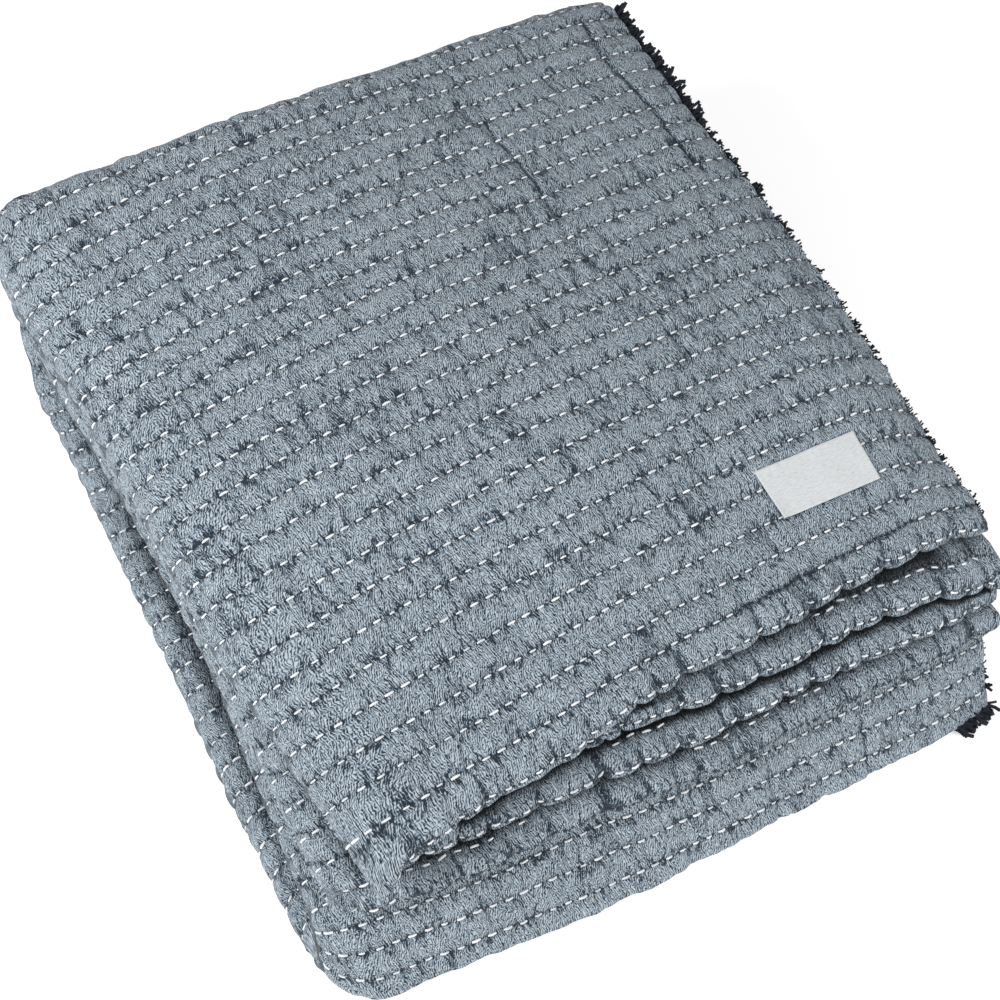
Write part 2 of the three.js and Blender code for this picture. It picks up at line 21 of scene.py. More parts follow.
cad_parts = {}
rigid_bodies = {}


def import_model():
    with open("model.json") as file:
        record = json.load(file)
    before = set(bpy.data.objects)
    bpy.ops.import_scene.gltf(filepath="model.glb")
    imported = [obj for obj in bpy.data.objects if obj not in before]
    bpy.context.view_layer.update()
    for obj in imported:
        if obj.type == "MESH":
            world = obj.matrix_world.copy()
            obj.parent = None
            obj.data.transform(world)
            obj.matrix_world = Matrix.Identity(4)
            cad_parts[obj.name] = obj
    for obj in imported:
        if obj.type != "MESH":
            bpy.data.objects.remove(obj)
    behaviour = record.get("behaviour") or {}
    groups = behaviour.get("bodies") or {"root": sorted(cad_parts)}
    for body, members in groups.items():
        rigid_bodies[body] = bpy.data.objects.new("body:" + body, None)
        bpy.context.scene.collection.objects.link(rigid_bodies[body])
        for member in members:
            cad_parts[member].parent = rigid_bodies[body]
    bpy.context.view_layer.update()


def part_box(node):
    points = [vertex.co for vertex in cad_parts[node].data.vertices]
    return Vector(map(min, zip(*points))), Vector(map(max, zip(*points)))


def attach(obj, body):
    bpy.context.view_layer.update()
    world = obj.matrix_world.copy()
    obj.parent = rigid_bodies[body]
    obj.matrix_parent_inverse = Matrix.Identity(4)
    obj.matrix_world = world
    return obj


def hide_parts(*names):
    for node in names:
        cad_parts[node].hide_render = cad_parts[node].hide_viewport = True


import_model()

log = logging.getLogger("bedspread")
MM = 0.001
Table = tuple[dict[str, float], ...]
Values = np.ndarray | float
Feed = bpy.types.NodeSocket | float


# ---------------------------------------------------------------- small helpers


def linear(hex_colour: str) -> tuple[float, float, float, float]:
    """Turns an sRGB hex colour to linear RGBA.

    Args:
        hex_colour: Six hex digits.

    Returns:
        Linear red, green, blue and an alpha of 1.
    """
    out = []
    for i in (0, 2, 4):
        c = int(hex_colour[i : i + 2], 16) / 255
        out.append(c / 12.92 if c <= 0.04045 else ((c + 0.055) / 1.055) ** 2.4)
    return (out[0], out[1], out[2], 1.0)


def lerp(a: Values, b: Values, t: Values) -> Values:
    """Blends a to b as t runs from 0 to 1."""
    return a + (b - a) * t


def clamp01(v: Values) -> Values:
    """Limits v to 0..1."""
    return np.clip(v, 0.0, 1.0)


def table(columns: str, *rows: tuple[float, ...]) -> Table:
    """Makes a table from the names of its columns and its rows."""
    return tuple(dict(zip(columns.split(), row, strict=True)) for row in rows)


def read_table(source: Table, key: str, at: Values, name: str) -> np.ndarray:
    """Reads a column of a table between its rows, softly.

    Args:
        source: Rows with named columns.
        key: The column that the place is given in.
        at: Places along the key column.
        name: The column to read.

    Returns:
        The column's value at each place.
    """
    rows = sorted(source, key=lambda row: row[key])
    keys = np.array([row[key] for row in rows], float)
    values = np.array([row[name] for row in rows], float)
    at = np.asarray(at, float)
    i = np.clip(np.searchsorted(keys, at, side="left") - 1, 0, len(rows) - 2)
    t = clamp01((at - keys[i]) / (keys[i + 1] - keys[i]))
    smooth = t * t * (3 - 2 * t)
    return lerp(values[i], values[i + 1], lerp(t, smooth, 0.5))


def spread(*values: Values) -> list[np.ndarray]:
    """Turns numbers and arrays into arrays of one shape."""
    return np.broadcast_arrays(*(np.asarray(v, float) for v in values))


def unit(vectors: np.ndarray) -> np.ndarray:
    """Gives each row of vectors a length of 1."""
    return vectors / np.maximum(np.linalg.norm(vectors, axis=1, keepdims=True), 1e-9)


def lattice(ix: np.ndarray, iy: np.ndarray, salt: int) -> np.ndarray:
    """Pseudo-random numbers from -1 to 1 on a whole-number lattice, the same in each run."""
    ix, iy = ix.astype(np.int64), iy.astype(np.int64)
    n = (ix * 374761393 + iy * 668265263 + salt * 974634777) & 0xFFFFFFFF
    n = ((n ^ (n >> 13)) * 1274126177) & 0xFFFFFFFF
    n = n ^ (n >> 16)
    return (n & 0xFFFF) / 32767.5 - 1.0


def soft_noise(x: Values, y: Values, salt: int) -> np.ndarray:
    """Smooth noise from about -1 to 1 that changes over one unit of x and of y."""
    x, y = spread(x, y)
    ix, iy = np.floor(x), np.floor(y)
    fx, fy = x - ix, y - iy
    fx, fy = fx * fx * (3 - 2 * fx), fy * fy * (3 - 2 * fy)
    low = lerp(lattice(ix, iy, salt), lattice(ix + 1, iy, salt), fx)
    high = lerp(lattice(ix, iy + 1, salt), lattice(ix + 1, iy + 1, salt), fx)
    return lerp(low, high, fy)


# ---------------------------------------------------------------- the folded stack's shape


class Run(Enum):
    """The runs of the folded strip in order, from the hem of the top pass to the upper one's."""

    TOP = 0
    BACK = 1
    BOTTOM = 2
    FRONT = 3
    LOWER = 4
    INNER = 5
    UPPER = 6


LEVELS = {
    Run.TOP: (3, 3),
    Run.BACK: (3, 0),
    Run.BOTTOM: (0, 0),
    Run.FRONT: (0, 1),
    Run.LOWER: (1, 1),
    Run.INNER: (1, 2),
    Run.UPPER: (2, 2),
}


@dataclass(frozen=True)
class Sag:
    """How the top sinks past a line at the left, the front and the right, squared."""

    limit: float = 75.0
    left_from: float = 30.0
    left_rate: float = 0.57e-3
    left_rate_front: float = 0.22e-3
    front_from: float = 33.0
    front_rate: float = 0.95e-3
    right_from: float = 190.0
    right_rate: float = 3.0e-3
    right_rate_front: float = 5.5e-3


@dataclass
class StackShape:
    """The stack of four passes, four plies each, with the sizes that its CAD solid has."""

    # passes and plies
    height: float = 168.0
    passes: int = 4
    pass_gap: float = 2.2
    plies: int = 4
    ply_slit: float = 1.4
    puff: float = 2.6
    # edges: hems drawn in at the left, folds between round (2) and square, the notch between lips
    hem_tuck: float = 14.0
    squareness: float = 2.5
    notch_depth: float = 42.0
    fold_radius: float = 21.0
    insets: tuple[float, ...] = (22.0, 26.0, 32.0, 44.0)
    # back fold: its outer line, where its inner and outer layers start, its inner layer's reach
    back_line: float = 300.0
    back_start: tuple[float, float] = (225.0, 258.0)
    back_inner_reach: float = 31.0
    back_inner_bulge: float = 0.4
    # inner fold, between the lower and the upper pass
    inner_start: float = 212.0
    inner_reach: tuple[float, float] = (41.0, 1.2)
    # front turn: Y of its foot, how far its top and its inner layer lie behind its outer one
    turn_near: float = -284.0
    turn_top_back: float = 5.0
    turn_inner_back: float = 30.0
    turn_inner_swell: float = 3.0
    sag: Sag = Sag()
    # lines read off the photograph: left folds and cut edges, then hems and the foot
    side_lines: Table = table(
        "y bottom lower upper top right_bottom right_top",
        (300, -240, -236, -238, -242, 236, 249),
        (230, -247, -238, -238, -241, 238, 243),
        (150, -246, -233, -232, -235, 239, 238),
        (50, -248, -229, -229, -230, 239, 236),
        (-50, -250, -230, -229, -229, 238, 238),
        (-130, -252, -236, -231, -219, 236, 241),
        (-200, -251, -241, -232, -211, 231, 243),
        (-300, -246, -243, -234, -202, 222, 239),
    )
    front_lines: Table = table(
        "x one two three four base",
        (-240, -243, -226, -206, -218, -258),
        (-209, -233, -213, -210, -222, -265),
        (-190, -219, -207, -210, -226, -267),
        (-165, -213, -206, -213, -231, -271),
        (-130, -210, -206, -218, -235, -276),
        (-75, -210, -206, -222, -238, -284),
        (-35, -204, -209, -229, -245, -287),
        (20, -203, -218, -234, -251, -289),
        (80, -205, -222, -236, -253, -293),
        (130, -202, -223, -239, -255, -296),
        (180, -203, -228, -244, -258, -299),
        (220, -205, -238, -245, -259, -297),
        (245, -212, -243, -245, -258, -286),
    )
    # the front face's outline, and how far the back fold stands out
    front_face: Table = table(
        "along share back rise",
        (0.0, 0.0, 34, 0.0),
        (0.14, 0.0, 12, 0.0),
        (0.24, 0.0, 2.5, 0.06),
        (0.34, 0.02, 0, 0.16),
        (0.56, 0.42, 0, 0.5),
        (0.8, 0.86, 0, 0.86),
        (0.9, 1.0, 4, 0.98),
        (1.0, 1.0, 14, 1.0),
    )
    back_bulge: Table = table(
        "x out",
        (-240, 36),
        (-190, 29),
        (-140, 21),
        (-80, 11),
        (0, 4),
        (60, 0),
    )

    def top_height(self, x: Values, y: Values) -> np.ndarray:
        """Height of the stack's top over the floor."""
        s = self.sag
        left = np.maximum(0, s.left_from - x)
        front = np.maximum(0, s.front_from - y)
        right = np.maximum(0, x - s.right_from)
        left_rate = s.left_rate + s.left_rate_front * clamp01((274 - y) / 460)
        shoulder = clamp01((100 - y) / 230) * (1 - 0.7 * clamp01((-150 - y) / 60))
        right_rate = s.right_rate + s.right_rate_front * shoulder
        sag = left_rate * left**2 + s.front_rate * front**2 + right_rate * right**2
        return self.height - s.limit * np.tanh(sag / s.limit)

    def left_line(self, y: Values, level: Values) -> np.ndarray:
        """X of the left folds at a level, which is whole on a pass."""
        level = np.broadcast_to(np.asarray(level, float), np.shape(y))
        k = np.clip(np.floor(level), 0, self.passes - 2).astype(int)
        names = ("bottom", "lower", "upper", "top")
        lines = np.stack([read_table(self.side_lines, "y", y, n) for n in names])
        low = np.take_along_axis(lines, k[None], 0)[0]
        high = np.take_along_axis(lines, k[None] + 1, 0)[0]
        return lerp(low, high, level - k)

    def right_line(self, y: Values, level: Values) -> np.ndarray:
        """X of the right cut edges at a level."""
        low = read_table(self.side_lines, "y", y, "right_bottom")
        high = read_table(self.side_lines, "y", y, "right_top")
        return lerp(low, high, np.asarray(level, float) / (self.passes - 1))

    def pass_height(self, level: int, across: Values, x: Values, y: Values) -> np.ndarray:
        """Height of a pass's surface: across is +1 on the stack's outside."""
        height = self.top_height(x, y)
        gap = self.pass_gap / 2
        low = height * level / self.passes + (gap if level > 0 else 0)
        high = height * (level + 1) / self.passes - (gap if level < self.passes - 1 else 0)
        side = 1 if level in (3, 1) else -1
        return (low + high) / 2 + side * across * (high - low) / 2

    def inset(self, level: Values) -> np.ndarray:
        """How far a pass's left fold rounds off."""
        level = np.asarray(level, float)
        return np.interp(level, range(self.passes), self.insets)

    def x_at(self, u: Values, y: Values, level: Values) -> np.ndarray:
        """X across the strip: u is -1..0 round the left fold and 1 at the right edge."""
        u, y, level = spread(u, y, level)
        inset = self.inset(level)
        shoulder = self.left_line(y, level) + inset
        return np.where(u < 0, shoulder + inset * u, lerp(shoulder, self.right_line(y, level), u))

    def front_at(self, x: Values, name: str) -> np.ndarray:
        """The front line of a layer."""
        return read_table(self.front_lines, "x", x, name)

    def fold(
        self, u: Values, t: Values, across: Values, levels: tuple[int, int], start: Values,
        reach: Callable,
    ) -> np.ndarray:
        """A fold's curve from pass to pass, as t runs from 0 to 1."""
        angle = np.pi * t
        level = lerp(levels[0], levels[1], t)
        power = 2 / self.squareness
        y = start + reach(self.x_at(u, start, level)) * np.maximum(0, np.sin(angle)) ** power
        x = self.x_at(u, y, level)
        first = self.pass_height(levels[0], across, x, start)
        last = self.pass_height(levels[1], across, x, start)
        swing = np.sign(np.cos(angle)) * np.abs(np.cos(angle)) ** power
        return np.stack([x, y, (first + last) / 2 + (first - last) / 2 * swing], -1)

    def front_turn(self, u: Values, t: Values, across: Values) -> np.ndarray:
        """The front turn from the bottom pass to the lower one, which leans back as it rises."""
        near = self.x_at(u, self.turn_near + 0 * t, t)
        base = self.front_at(near, "base") + self.puff
        top = self.front_at(near, "four") + self.turn_top_back
        share = read_table(self.front_face, "along", t, "share")
        back = read_table(self.front_face, "along", t, "back")
        outer_y = lerp(base, top, share) + back
        outer_x = self.x_at(u, outer_y, t)
        rise = read_table(self.front_face, "along", t, "rise")
        outer_z = rise * self.pass_height(1, 1, outer_x, outer_y)
        inner_y = lerp(base, top, 0.5) + self.turn_inner_back
        inner_y = inner_y + self.turn_inner_swell * (1 - np.sin(np.pi * t))
        inner_x = self.x_at(u, inner_y, t)
        low = self.pass_height(0, -1, inner_x, inner_y)
        high = self.pass_height(1, -1, inner_x, inner_y)
        inner_z = lerp(low, high, (1 - np.cos(np.pi * t)) / 2)
        inner = np.stack([inner_x, inner_y, inner_z], -1)
        outer = np.stack([outer_x, outer_y, outer_z], -1)
        return lerp(inner, outer, ((np.asarray(across) + 1) / 2)[..., None])

    def flat(
        self, u: Values, t: Values, across: Values, level: int, first: Values, last: Values
    ) -> np.ndarray:
        """A flat pass between two places along Y."""
        y = lerp(first, last, t)
        x = self.x_at(u, y, level)
        return np.stack([x, y, self.pass_height(level, across, x, y)], -1)

    def back_from(self, across: Values) -> np.ndarray:
        """Where the back fold starts, for a layer of the strip."""
        return lerp(*self.back_start, (np.asarray(across) + 1) / 2)

    def back_reach(self, across: Values) -> np.ndarray:
        """How far the back fold reaches past its start, as a function of x."""
        outside = (across + 1) / 2
        outer = self.back_line - self.puff - self.back_start[1]

        def reach(x: np.ndarray) -> np.ndarray:
            """The reach at x."""
            bulge = read_table(self.back_bulge, "x", x, "out")
            inner = self.back_inner_reach + bulge * self.back_inner_bulge
            return lerp(inner, outer + bulge, outside)

        return reach

    def point(
        self, run: Run, u: Values, t: Values, across: Values, hem: Values = 0.0
    ) -> np.ndarray:
        """A point of the strip.

        Args:
            run: The run it lies in.
            u: Its place across the strip.
            t: How far along the run, from 0 to 1.
            across: Its place in the strip's thickness.
            hem: Y of the hem's start, for the top and the upper run.

        Returns:
            Points as rows of x, y and z.
        """
        u, t, w, hem = spread(u, t, across, hem)
        if run is Run.TOP:
            return self.flat(u, t, w, 3, hem, self.back_from(w))
        if run is Run.BACK:
            return self.fold(u, t, w, (3, 0), self.back_from(w), self.back_reach(w))
        if run is Run.BOTTOM:
            end = self.front_turn(u, 0 * t, w)[..., 1]
            return self.flat(u, t, w, 0, self.back_from(w), end)
        if run is Run.FRONT:
            return self.front_turn(u, t, w)
        if run is Run.LOWER:
            start = self.front_turn(u, 0 * t + 1, w)[..., 1]
            return self.flat(u, t, w, 1, start, self.inner_start)
        if run is Run.INNER:
            reach = lerp(*self.inner_reach, (w + 1) / 2)
            return self.fold(u, t, w, (1, 2), self.inner_start + 0 * t, lambda x: reach)
        return self.flat(u, t, w, 2, self.inner_start, hem)


def rounding(u: Values) -> np.ndarray:
    """The strip's share of its thickness at a place across it."""
    return np.sqrt(np.maximum(0, 1 - np.minimum(np.asarray(u, float), 0) ** 2))


@dataclass(frozen=True)
class Ply:
    """One ply of the strip: its faces across the thickness and the lips of its hems."""

    index: int
    outside: float
    inside: float
    top_lip: str
    upper_lip: str


@dataclass
class StitchRows:
    """The rows of running stitch: where they lie, how they wander and how stitches step."""

    spacing: float = 19.3
    first: float = 254.7
    pitch: float = 10.0
    phase_step: float = 0.377
    # left of the limit a row goes on straight; its right end dips towards the front
    left_limit: float = -235.0
    dip_from: float = 165.0
    dip_over: float = 75.0
    dip: Table = table(
        "y dip",
        (130, 0),
        (62, 2),
        (-34, 5),
        (-130, 10),
        (-175, 9),
        (-240, 3),
    )
    pulls: Table = table(
        "x y wide long shift",
        (95, -95, 60, 45, 3.2),
        (40, -180, 80, 30, 2.6),
        (165, 165, 45, 70, 2.8),
        (-185, -92, 35, 35, -2.4),
        (-185, 190, 32, 50, -2.8),
        (-120, 175, 35, 90, 1.8),
    )

    def shift(self, x: Values, y: Values) -> np.ndarray:
        """How far a row strays along Y at a place of the top."""
        edge = clamp01((x - self.dip_from) / self.dip_over) ** 2
        drawn = -read_table(self.dip, "y", y, "dip") * edge
        for pull in self.pulls:
            away = ((x - pull["x"]) / pull["wide"]) ** 2 + ((y - pull["y"]) / pull["long"]) ** 2
            drawn = drawn + pull["shift"] * np.exp(-away)
        line = y / self.spacing
        wander = 0.9 * soft_noise(x / 55, line, 11) + 0.45 * soft_noise(x / 19, line, 12)
        return drawn + wander

    def row_y(self, across_rows: Values, x: Values) -> np.ndarray:
        """Y of a line at a distance across the rows, following their strays."""
        y = self.first - across_rows
        for _ in range(3):
            y = self.first - across_rows + self.shift(x, y)
        return y

    def phase(self, row: Values) -> np.ndarray:
        """Where the first stitch of a row starts, in millimetres along it."""
        return self.pitch * np.mod(np.asarray(row) * self.phase_step, 1.0)


# ---------------------------------------------------------------- the cloth's mesh


class MeshPot:
    """Gathers points with their place on the cloth, and the faces between them."""

    def __init__(self) -> None:
        """Starts empty."""
        self.points: list[np.ndarray] = []
        self.places: list[np.ndarray] = []
        self.count = 0
        self.quads: list[np.ndarray] = []
        self.tris: list[tuple[int, int, int]] = []

    def add(self, points: np.ndarray, places: np.ndarray) -> np.ndarray:
        """Adds points.

        Args:
            points: Rows of x, y, z in millimetres.
            places: Rows of the place along the stitch rows, across them, the relief's share, a
            crease's depth and the painted shade where the place is hidden.

        Returns:
            The new points' indices.
        """
        ids = np.arange(self.count, self.count + len(points))
        self.points.append(points)
        self.places.append(places)
        self.count += len(points)
        return ids

    def strip(self, a: np.ndarray, b: np.ndarray, flip: bool) -> None:
        """Joins two lines of the same number of points with quads."""
        q = np.stack([a[:-1], b[:-1], b[1:], a[1:]], 1)
        self.quads.append(q if flip else q[:, ::-1])

    def zip(
        self, a: np.ndarray, at_a: np.ndarray, b: np.ndarray, at_b: np.ndarray, flip: bool
    ) -> None:
        """Joins two lines with different points by their places along them."""
        if len(a) == len(b) and np.allclose(at_a, at_b):
            self.strip(a, b, flip)
            return
        i = j = 0
        while i + 1 < len(a) or j + 1 < len(b):
            next_a = at_a[i + 1] if i + 1 < len(a) else math.inf
            next_b = at_b[j + 1] if j + 1 < len(b) else math.inf
            third = a[i + 1] if next_a <= next_b else b[j + 1]
            face = (a[i], b[j], third) if flip else (a[i], third, b[j])
            self.tris.append(tuple(int(v) for v in face))
            if next_a <= next_b:
                i += 1
            else:
                j += 1

    def arrays(self) -> tuple[np.ndarray, np.ndarray]:
        """All points and all places."""
        return np.concatenate(self.points), np.concatenate(self.places)


@dataclass
class Line:
    """One line of points across the strip: places across it and the points' indices."""

    u: np.ndarray
    ids: np.ndarray
    progress: float


@dataclass
class Ruler:
    """Distances along a run, with the run's t at each."""

    lengths: np.ndarray
    ts: np.ndarray

    @property
    def total(self) -> float:
        """The run's length in millimetres."""
        return self.lengths[-1]

    def t(self, at: float) -> float:
        """The run's t at a distance along it."""
        return float(np.interp(at, self.lengths, self.ts))


LIP_SALTS = {"one": 31, "two": 32, "three": 33, "four": 34}
LIP_PLACES = {"one": -210.0, "two": -206.0, "three": -222.0, "four": -238.0}


@dataclass
class QuiltedCloth:
    """The whole cloth as one closed sheet, folded in plies and passes, with its quilting."""

    shape: StackShape
    rows: StitchRows
    offset: tuple[float, float]
    # long creases: place along the rows, from and to across them, depth
    top_creases: Table = table(
        "a from to deep",
        (209, -8, 170, 2.8),
        (154, -22, 60, 2.0),
        (94, -18, 216, 2.2),
        (112, 172, 296, 2.0),
        (72, 278, 352, 1.8),
        (212, 222, 336, 1.6),
        (232, 150, 300, 1.2),
        (190, 196, 330, 1.3),
        (171, 120, 268, 1.2),
        (148, 214, 362, 1.5),
        (128, 60, 140, 1.2),
        (45, 326, 402, 1.6),
        (23, -26, 12, 2.4),
        (18, 96, 176, 1.4),
        (-22, 196, 288, 1.5),
        (-60, -30, 10, 2.4),
        (-66, 118, 176, 1.4),
        (-98, 268, 350, 1.5),
        (-131, 330, 408, 1.6),
        (-176, 156, 200, 1.7),
        (-179, 80, 124, 1.9),
        (-209, 54, 98, 2.6),
    )
    creases: Table = table(
        "a from to deep",
        (-199, 30, 80, 1.2),
        (-180, -2, 44, 1.6),
        (-150, 14, 60, 1.8),
        (-95, -2, 36, 1.6),
        (-62, 16, 62, 1.3),
        (2, -2, 42, 1.9),
        (49, 14, 80, 1.8),
        (84, 32, 80, 1.4),
        (123, 14, 78, 2.0),
        (150, -2, 60, 1.7),
        (193, 14, 60, 1.3),
    )
    # places across the strip: degrees round the left fold, then even or coarse steps
    strip_width: float = 440.0
    fine_step: float = 3.0
    round_degrees: tuple[float, ...] = (5, 14, 23, 32, 41, 51, 61, 71, 81, 90)
    coarse_places: tuple[float, ...] = (0.006, 0.03, 0.1, 0.25, 0.4, 0.55, 0.7, 0.85, 0.95, 0.98)
    edge_from: float = 0.9965
    # the slits between plies end here on the left fold
    web_degrees: float = 41.0
    # lines for each stitch row, and their steps where the rows don't show
    row_lines: int = 6
    hidden_step: float = 16.0
    side_step: float = 3.3
    shown_step: float = 3.2
    nose_steps: int = 10
    hem_zone_lines: int = 14
    # how the stitch rows are numbered across the lips, the top, the back and the front
    hem_row: float = -6.8
    hem_number: int = 24
    last_row: float = 22.5
    front_first: int = 100
    back_phase: float = 3.3
    front_phase: float = 4.0

    def __post_init__(self) -> None:
        """Works out the samples across the strip and the plies."""
        self.left = -np.cos(np.radians(self.round_degrees))
        self.left[-1] = 0.0
        count = int(self.strip_width / self.fine_step)
        edge = [self.edge_from, 1.0]
        self.fine = np.concatenate([self.left, np.linspace(0, 1, count)[1:-1], edge])
        self.coarse = np.concatenate([self.left, self.coarse_places, edge])
        self.web = -math.cos(math.radians(self.web_degrees))
        slit = self.shape.ply_slit / (self.shape.height / self.shape.passes)
        n = self.shape.plies
        self.plies = [
            Ply(
                i,
                1 - 2 * i / n - (slit if i > 0 else 0),
                1 - 2 * (i + 1) / n + (slit if i < n - 1 else 0),
                "one" if i < n / 2 else "two",
                "four" if i < n / 2 else "three",
            )
            for i in range(n)
        ]
        self.middles: dict[float, float] = {}
        for ply in self.plies:
            for face in (ply.outside, ply.inside):
                self.middles[round(face, 6)] = (ply.outside + ply.inside) / 2
        self.pot = MeshPot()
        self.chains: dict[tuple[int, int], list[np.ndarray]] = {}
        self.side_notes: dict[tuple[Run, float], list[tuple[float, ...]]] = {}

    def across_at(self, u: Values, across: float) -> np.ndarray:
        """A face's place in the thickness, drawn in at both ends of the strip."""
        edge = clamp01((np.asarray(u) - self.edge_from) / (1 - self.edge_from))
        return lerp(across, self.middles[round(across, 6)], 0.4 * edge) * rounding(u)

    # -- hems

    def scallop_wave(self, x: Values, lip: str) -> np.ndarray:
        """The puffs of a lip's edge: 0 at each pucker and 1 between two."""
        salt = LIP_SALTS[lip]
        warped = x / 29.0 + 0.75 * soft_noise(x / 33.0, 0.5, salt) + salt * 0.37
        return np.abs(np.sin(np.pi * warped))

    def scallop(self, x: Values, lip: str) -> np.ndarray:
        """How far a lip's edge stands out between its puckers."""
        salt = LIP_SALTS[lip]
        wave = self.scallop_wave(x, lip)
        return 2.9 * wave**0.55 - 2.1 + 0.9 * soft_noise(x / 45.0, 1.5, salt)

    def pinch(self, x: Values, lip: str, inward: Values) -> np.ndarray:
        """Depth of the creases that run inward from the puckers of a lip's edge."""
        bent = x + 2.0 * soft_noise(inward / 7.0, x / 40.0, 45)
        sharp = np.exp(-((self.scallop_wave(bent, lip) / 0.26) ** 2))
        return 2.4 * sharp * clamp01(1 - inward / 17.0)

    def hem_line(self, u: Values, level: int, lip: str) -> np.ndarray:
        """Y of a hem's edge."""
        s = self.shape
        x = s.x_at(u, LIP_PLACES[lip], level)
        return s.front_at(x, lip) + s.hem_tuck * (1 - rounding(u)) - self.scallop(x, lip)

    def hem(self, u: Values, level: int, ply: Ply, lip: str) -> tuple[np.ndarray, np.ndarray]:
        """Y where a hem's rounded nose starts, and the nose's radius."""
        s = self.shape
        line = self.hem_line(u, level, lip)
        x = s.x_at(u, line, level)
        r = rounding(u)
        first, second = self.pair(ply)
        high = s.pass_height(level, first.outside * r, x, line)
        low = s.pass_height(level, second.inside * r, x, line)
        radius = np.abs(high - low) / 2
        return line + radius, radius

    def pair(self, ply: Ply) -> tuple[Ply, Ply]:
        """The two plies that one lip folds together."""
        first = ply.index // 2 * 2
        return self.plies[first], self.plies[first + 1]

    # -- places on the cloth

    def along(self, u: Values, x: Values, level: Values) -> np.ndarray:
        """Distance along the stitch rows, going on round the left fold."""
        u = np.asarray(u, float)
        inset = self.shape.inset(level)
        shoulder = x - inset * np.minimum(u, 0)
        turn = np.pi / 2 - np.arccos(np.clip(-np.minimum(u, 0), 0, 1))
        arc = turn * (inset + self.shape.fold_radius) / 2
        return np.where(u < 0, shoulder - arc, x)

    def under(self, y: Values, edge: Values) -> np.ndarray:
        """1 where a place lies in the open past an edge, 0 under it."""
        return clamp01((edge + 1.5 - y) / 7)

    def hidden(self, y: Values, edge: Values, past: float = 7.0) -> np.ndarray:
        """Painted shade under a lip's edge: 1 deep under it, falling to 0 a little past it."""
        return clamp01((y - edge + past) / 8)

    # -- lines

    def line(
        self, run: Run, u: Values, t: Values, across: float, hem: Values, phi: Values,
        share: Values, pinch: Values = 0.0, painted_shade: Values = 0.0,
    ) -> Line:
        """Adds a line of points across the strip.

        Args:
            run: The run it lies in.
            u: Places across the strip.
            t: Place along the run, one or one for each u.
            across: The face's place in the strip's thickness.
            hem: Y of the hem's start for each u.
            phi: Distance across the stitch rows.
            share: The relief's share, one or one for each u.
            pinch: Depth of a crease there.
            painted_shade: Painted shade where the place is hidden under a lip, from 0 to 1.

        Returns:
            The line.
        """
        t = np.broadcast_to(np.asarray(t, float), u.shape)
        points = self.shape.point(run, u, t, self.across_at(u, across), hem)
        first, last = LEVELS[run]
        a = self.along(u, points[:, 0], lerp(first, last, float(np.mean(t))))
        outside = across == 1.0 and run in (Run.TOP, Run.BACK, Run.FRONT)
        # the faces of the outer plies that look in between the passes get painted shade at the left
        if abs(across) == 1 and not outside:
            painted_shade = np.maximum(painted_shade, self.between(u, points[:, 1]))
        places = np.stack(np.broadcast_arrays(a, phi, share, pinch, painted_shade), -1).astype(float)
        if first == last and run is not Run.TOP and abs(across) == 1:
            k = min(5, len(u) - 1)
            hem_there = np.broadcast_to(hem, u.shape)[k]
            note = (places[k, 1], points[k, 1], t[k], hem_there)
            self.side_notes.setdefault((run, across), []).append(tuple(float(v) for v in note))
        return Line(u, self.pot.add(points, places), run.value + float(np.mean(t)))

    def between(self, u: np.ndarray, y: np.ndarray) -> np.ndarray:
        """Painted shade on a place hidden between two passes at the left, from 0 to 1."""
        return 0.6 * clamp01((u + 0.66) / 0.5) * (u < 0.02) * clamp01((y + 200) / 20)

    def ruler(self, run: Run, across: float, hem: float = 0.0) -> Ruler:
        """Distances along a run at the middle of the strip."""
        t = np.linspace(0, 1, 401)
        p = self.shape.point(run, 0.5 + 0 * t, t, across, hem)
        step = np.linalg.norm(np.diff(p, axis=0), axis=1)
        return Ruler(np.concatenate([[0], np.cumsum(step)]), t)

    def side_share(self, u: Values) -> np.ndarray:
        """The relief's share on the folds at the left, where the passes don't touch."""
        return clamp01((-np.asarray(u) - 0.12) / 0.45)

    def outer_lines(self) -> list[Line]:
        """The strip's outer face: the top, the back, the floor side, the front and inside."""
        back, floor = self.ruler(Run.BACK, 1.0), self.ruler(Run.BOTTOM, 1.0)
        fine, coarse = self.fine, self.coarse
        step = self.rows.spacing / self.row_lines
        lines = self.top_lines(step)
        for i in range(int(back.total / step)):
            at = i * step + (self.rows.spacing - self.back_phase) % step
            t = back.t(at)
            share = 1.0 - 0.9 * clamp01((t - 0.8) / 0.14)
            lines.append(self.line(Run.BACK, fine, t, 1.0, 0, -self.back_phase - at, share))
        phi = -self.back_phase - back.total
        for at in np.arange(0, floor.total, self.side_step):
            share = self.side_share(coarse)
            lines.append(self.line(Run.BOTTOM, coarse, floor.t(at), 1.0, 0, phi - at, share))
        lines += self.front_lines(step)
        lower = self.ruler(Run.LOWER, 1.0).total
        lines += self.plain_run(Run.INNER, 1.0, coarse, self.side_step, self.front_phase + lower)
        lines += self.hem_run(Run.UPPER, self.plies[0], "four", 1.0, None)
        return lines

    def top_lines(self, step: float) -> list[Line]:
        """The lines of the top, from the lip to the back fold."""
        s, rows, fine = self.shape, self.rows, self.fine
        start, _ = self.hem(fine, 3, self.plies[0], "one")
        end = s.back_from(rounding(fine))
        last_row = self.last_row * rows.spacing
        anchor = rows.row_y(last_row, s.x_at(fine, -175.0, 3))
        lines: list[Line] = []
        # near the lip the lines turn from its shape to the rows' shape
        for i in range(self.hem_zone_lines):
            near = i / self.hem_zone_lines
            lines.append(self.top_line(fine, lerp(start, anchor, near), end, start, 1 - near))
        k = int(last_row / step)
        while k * step > -3.0 + step * 0.4:
            x = s.x_at(fine, rows.first - k * step, 3)
            lines.append(self.top_line(fine, rows.row_y(k * step, x), end, start))
            k -= 1
        return lines

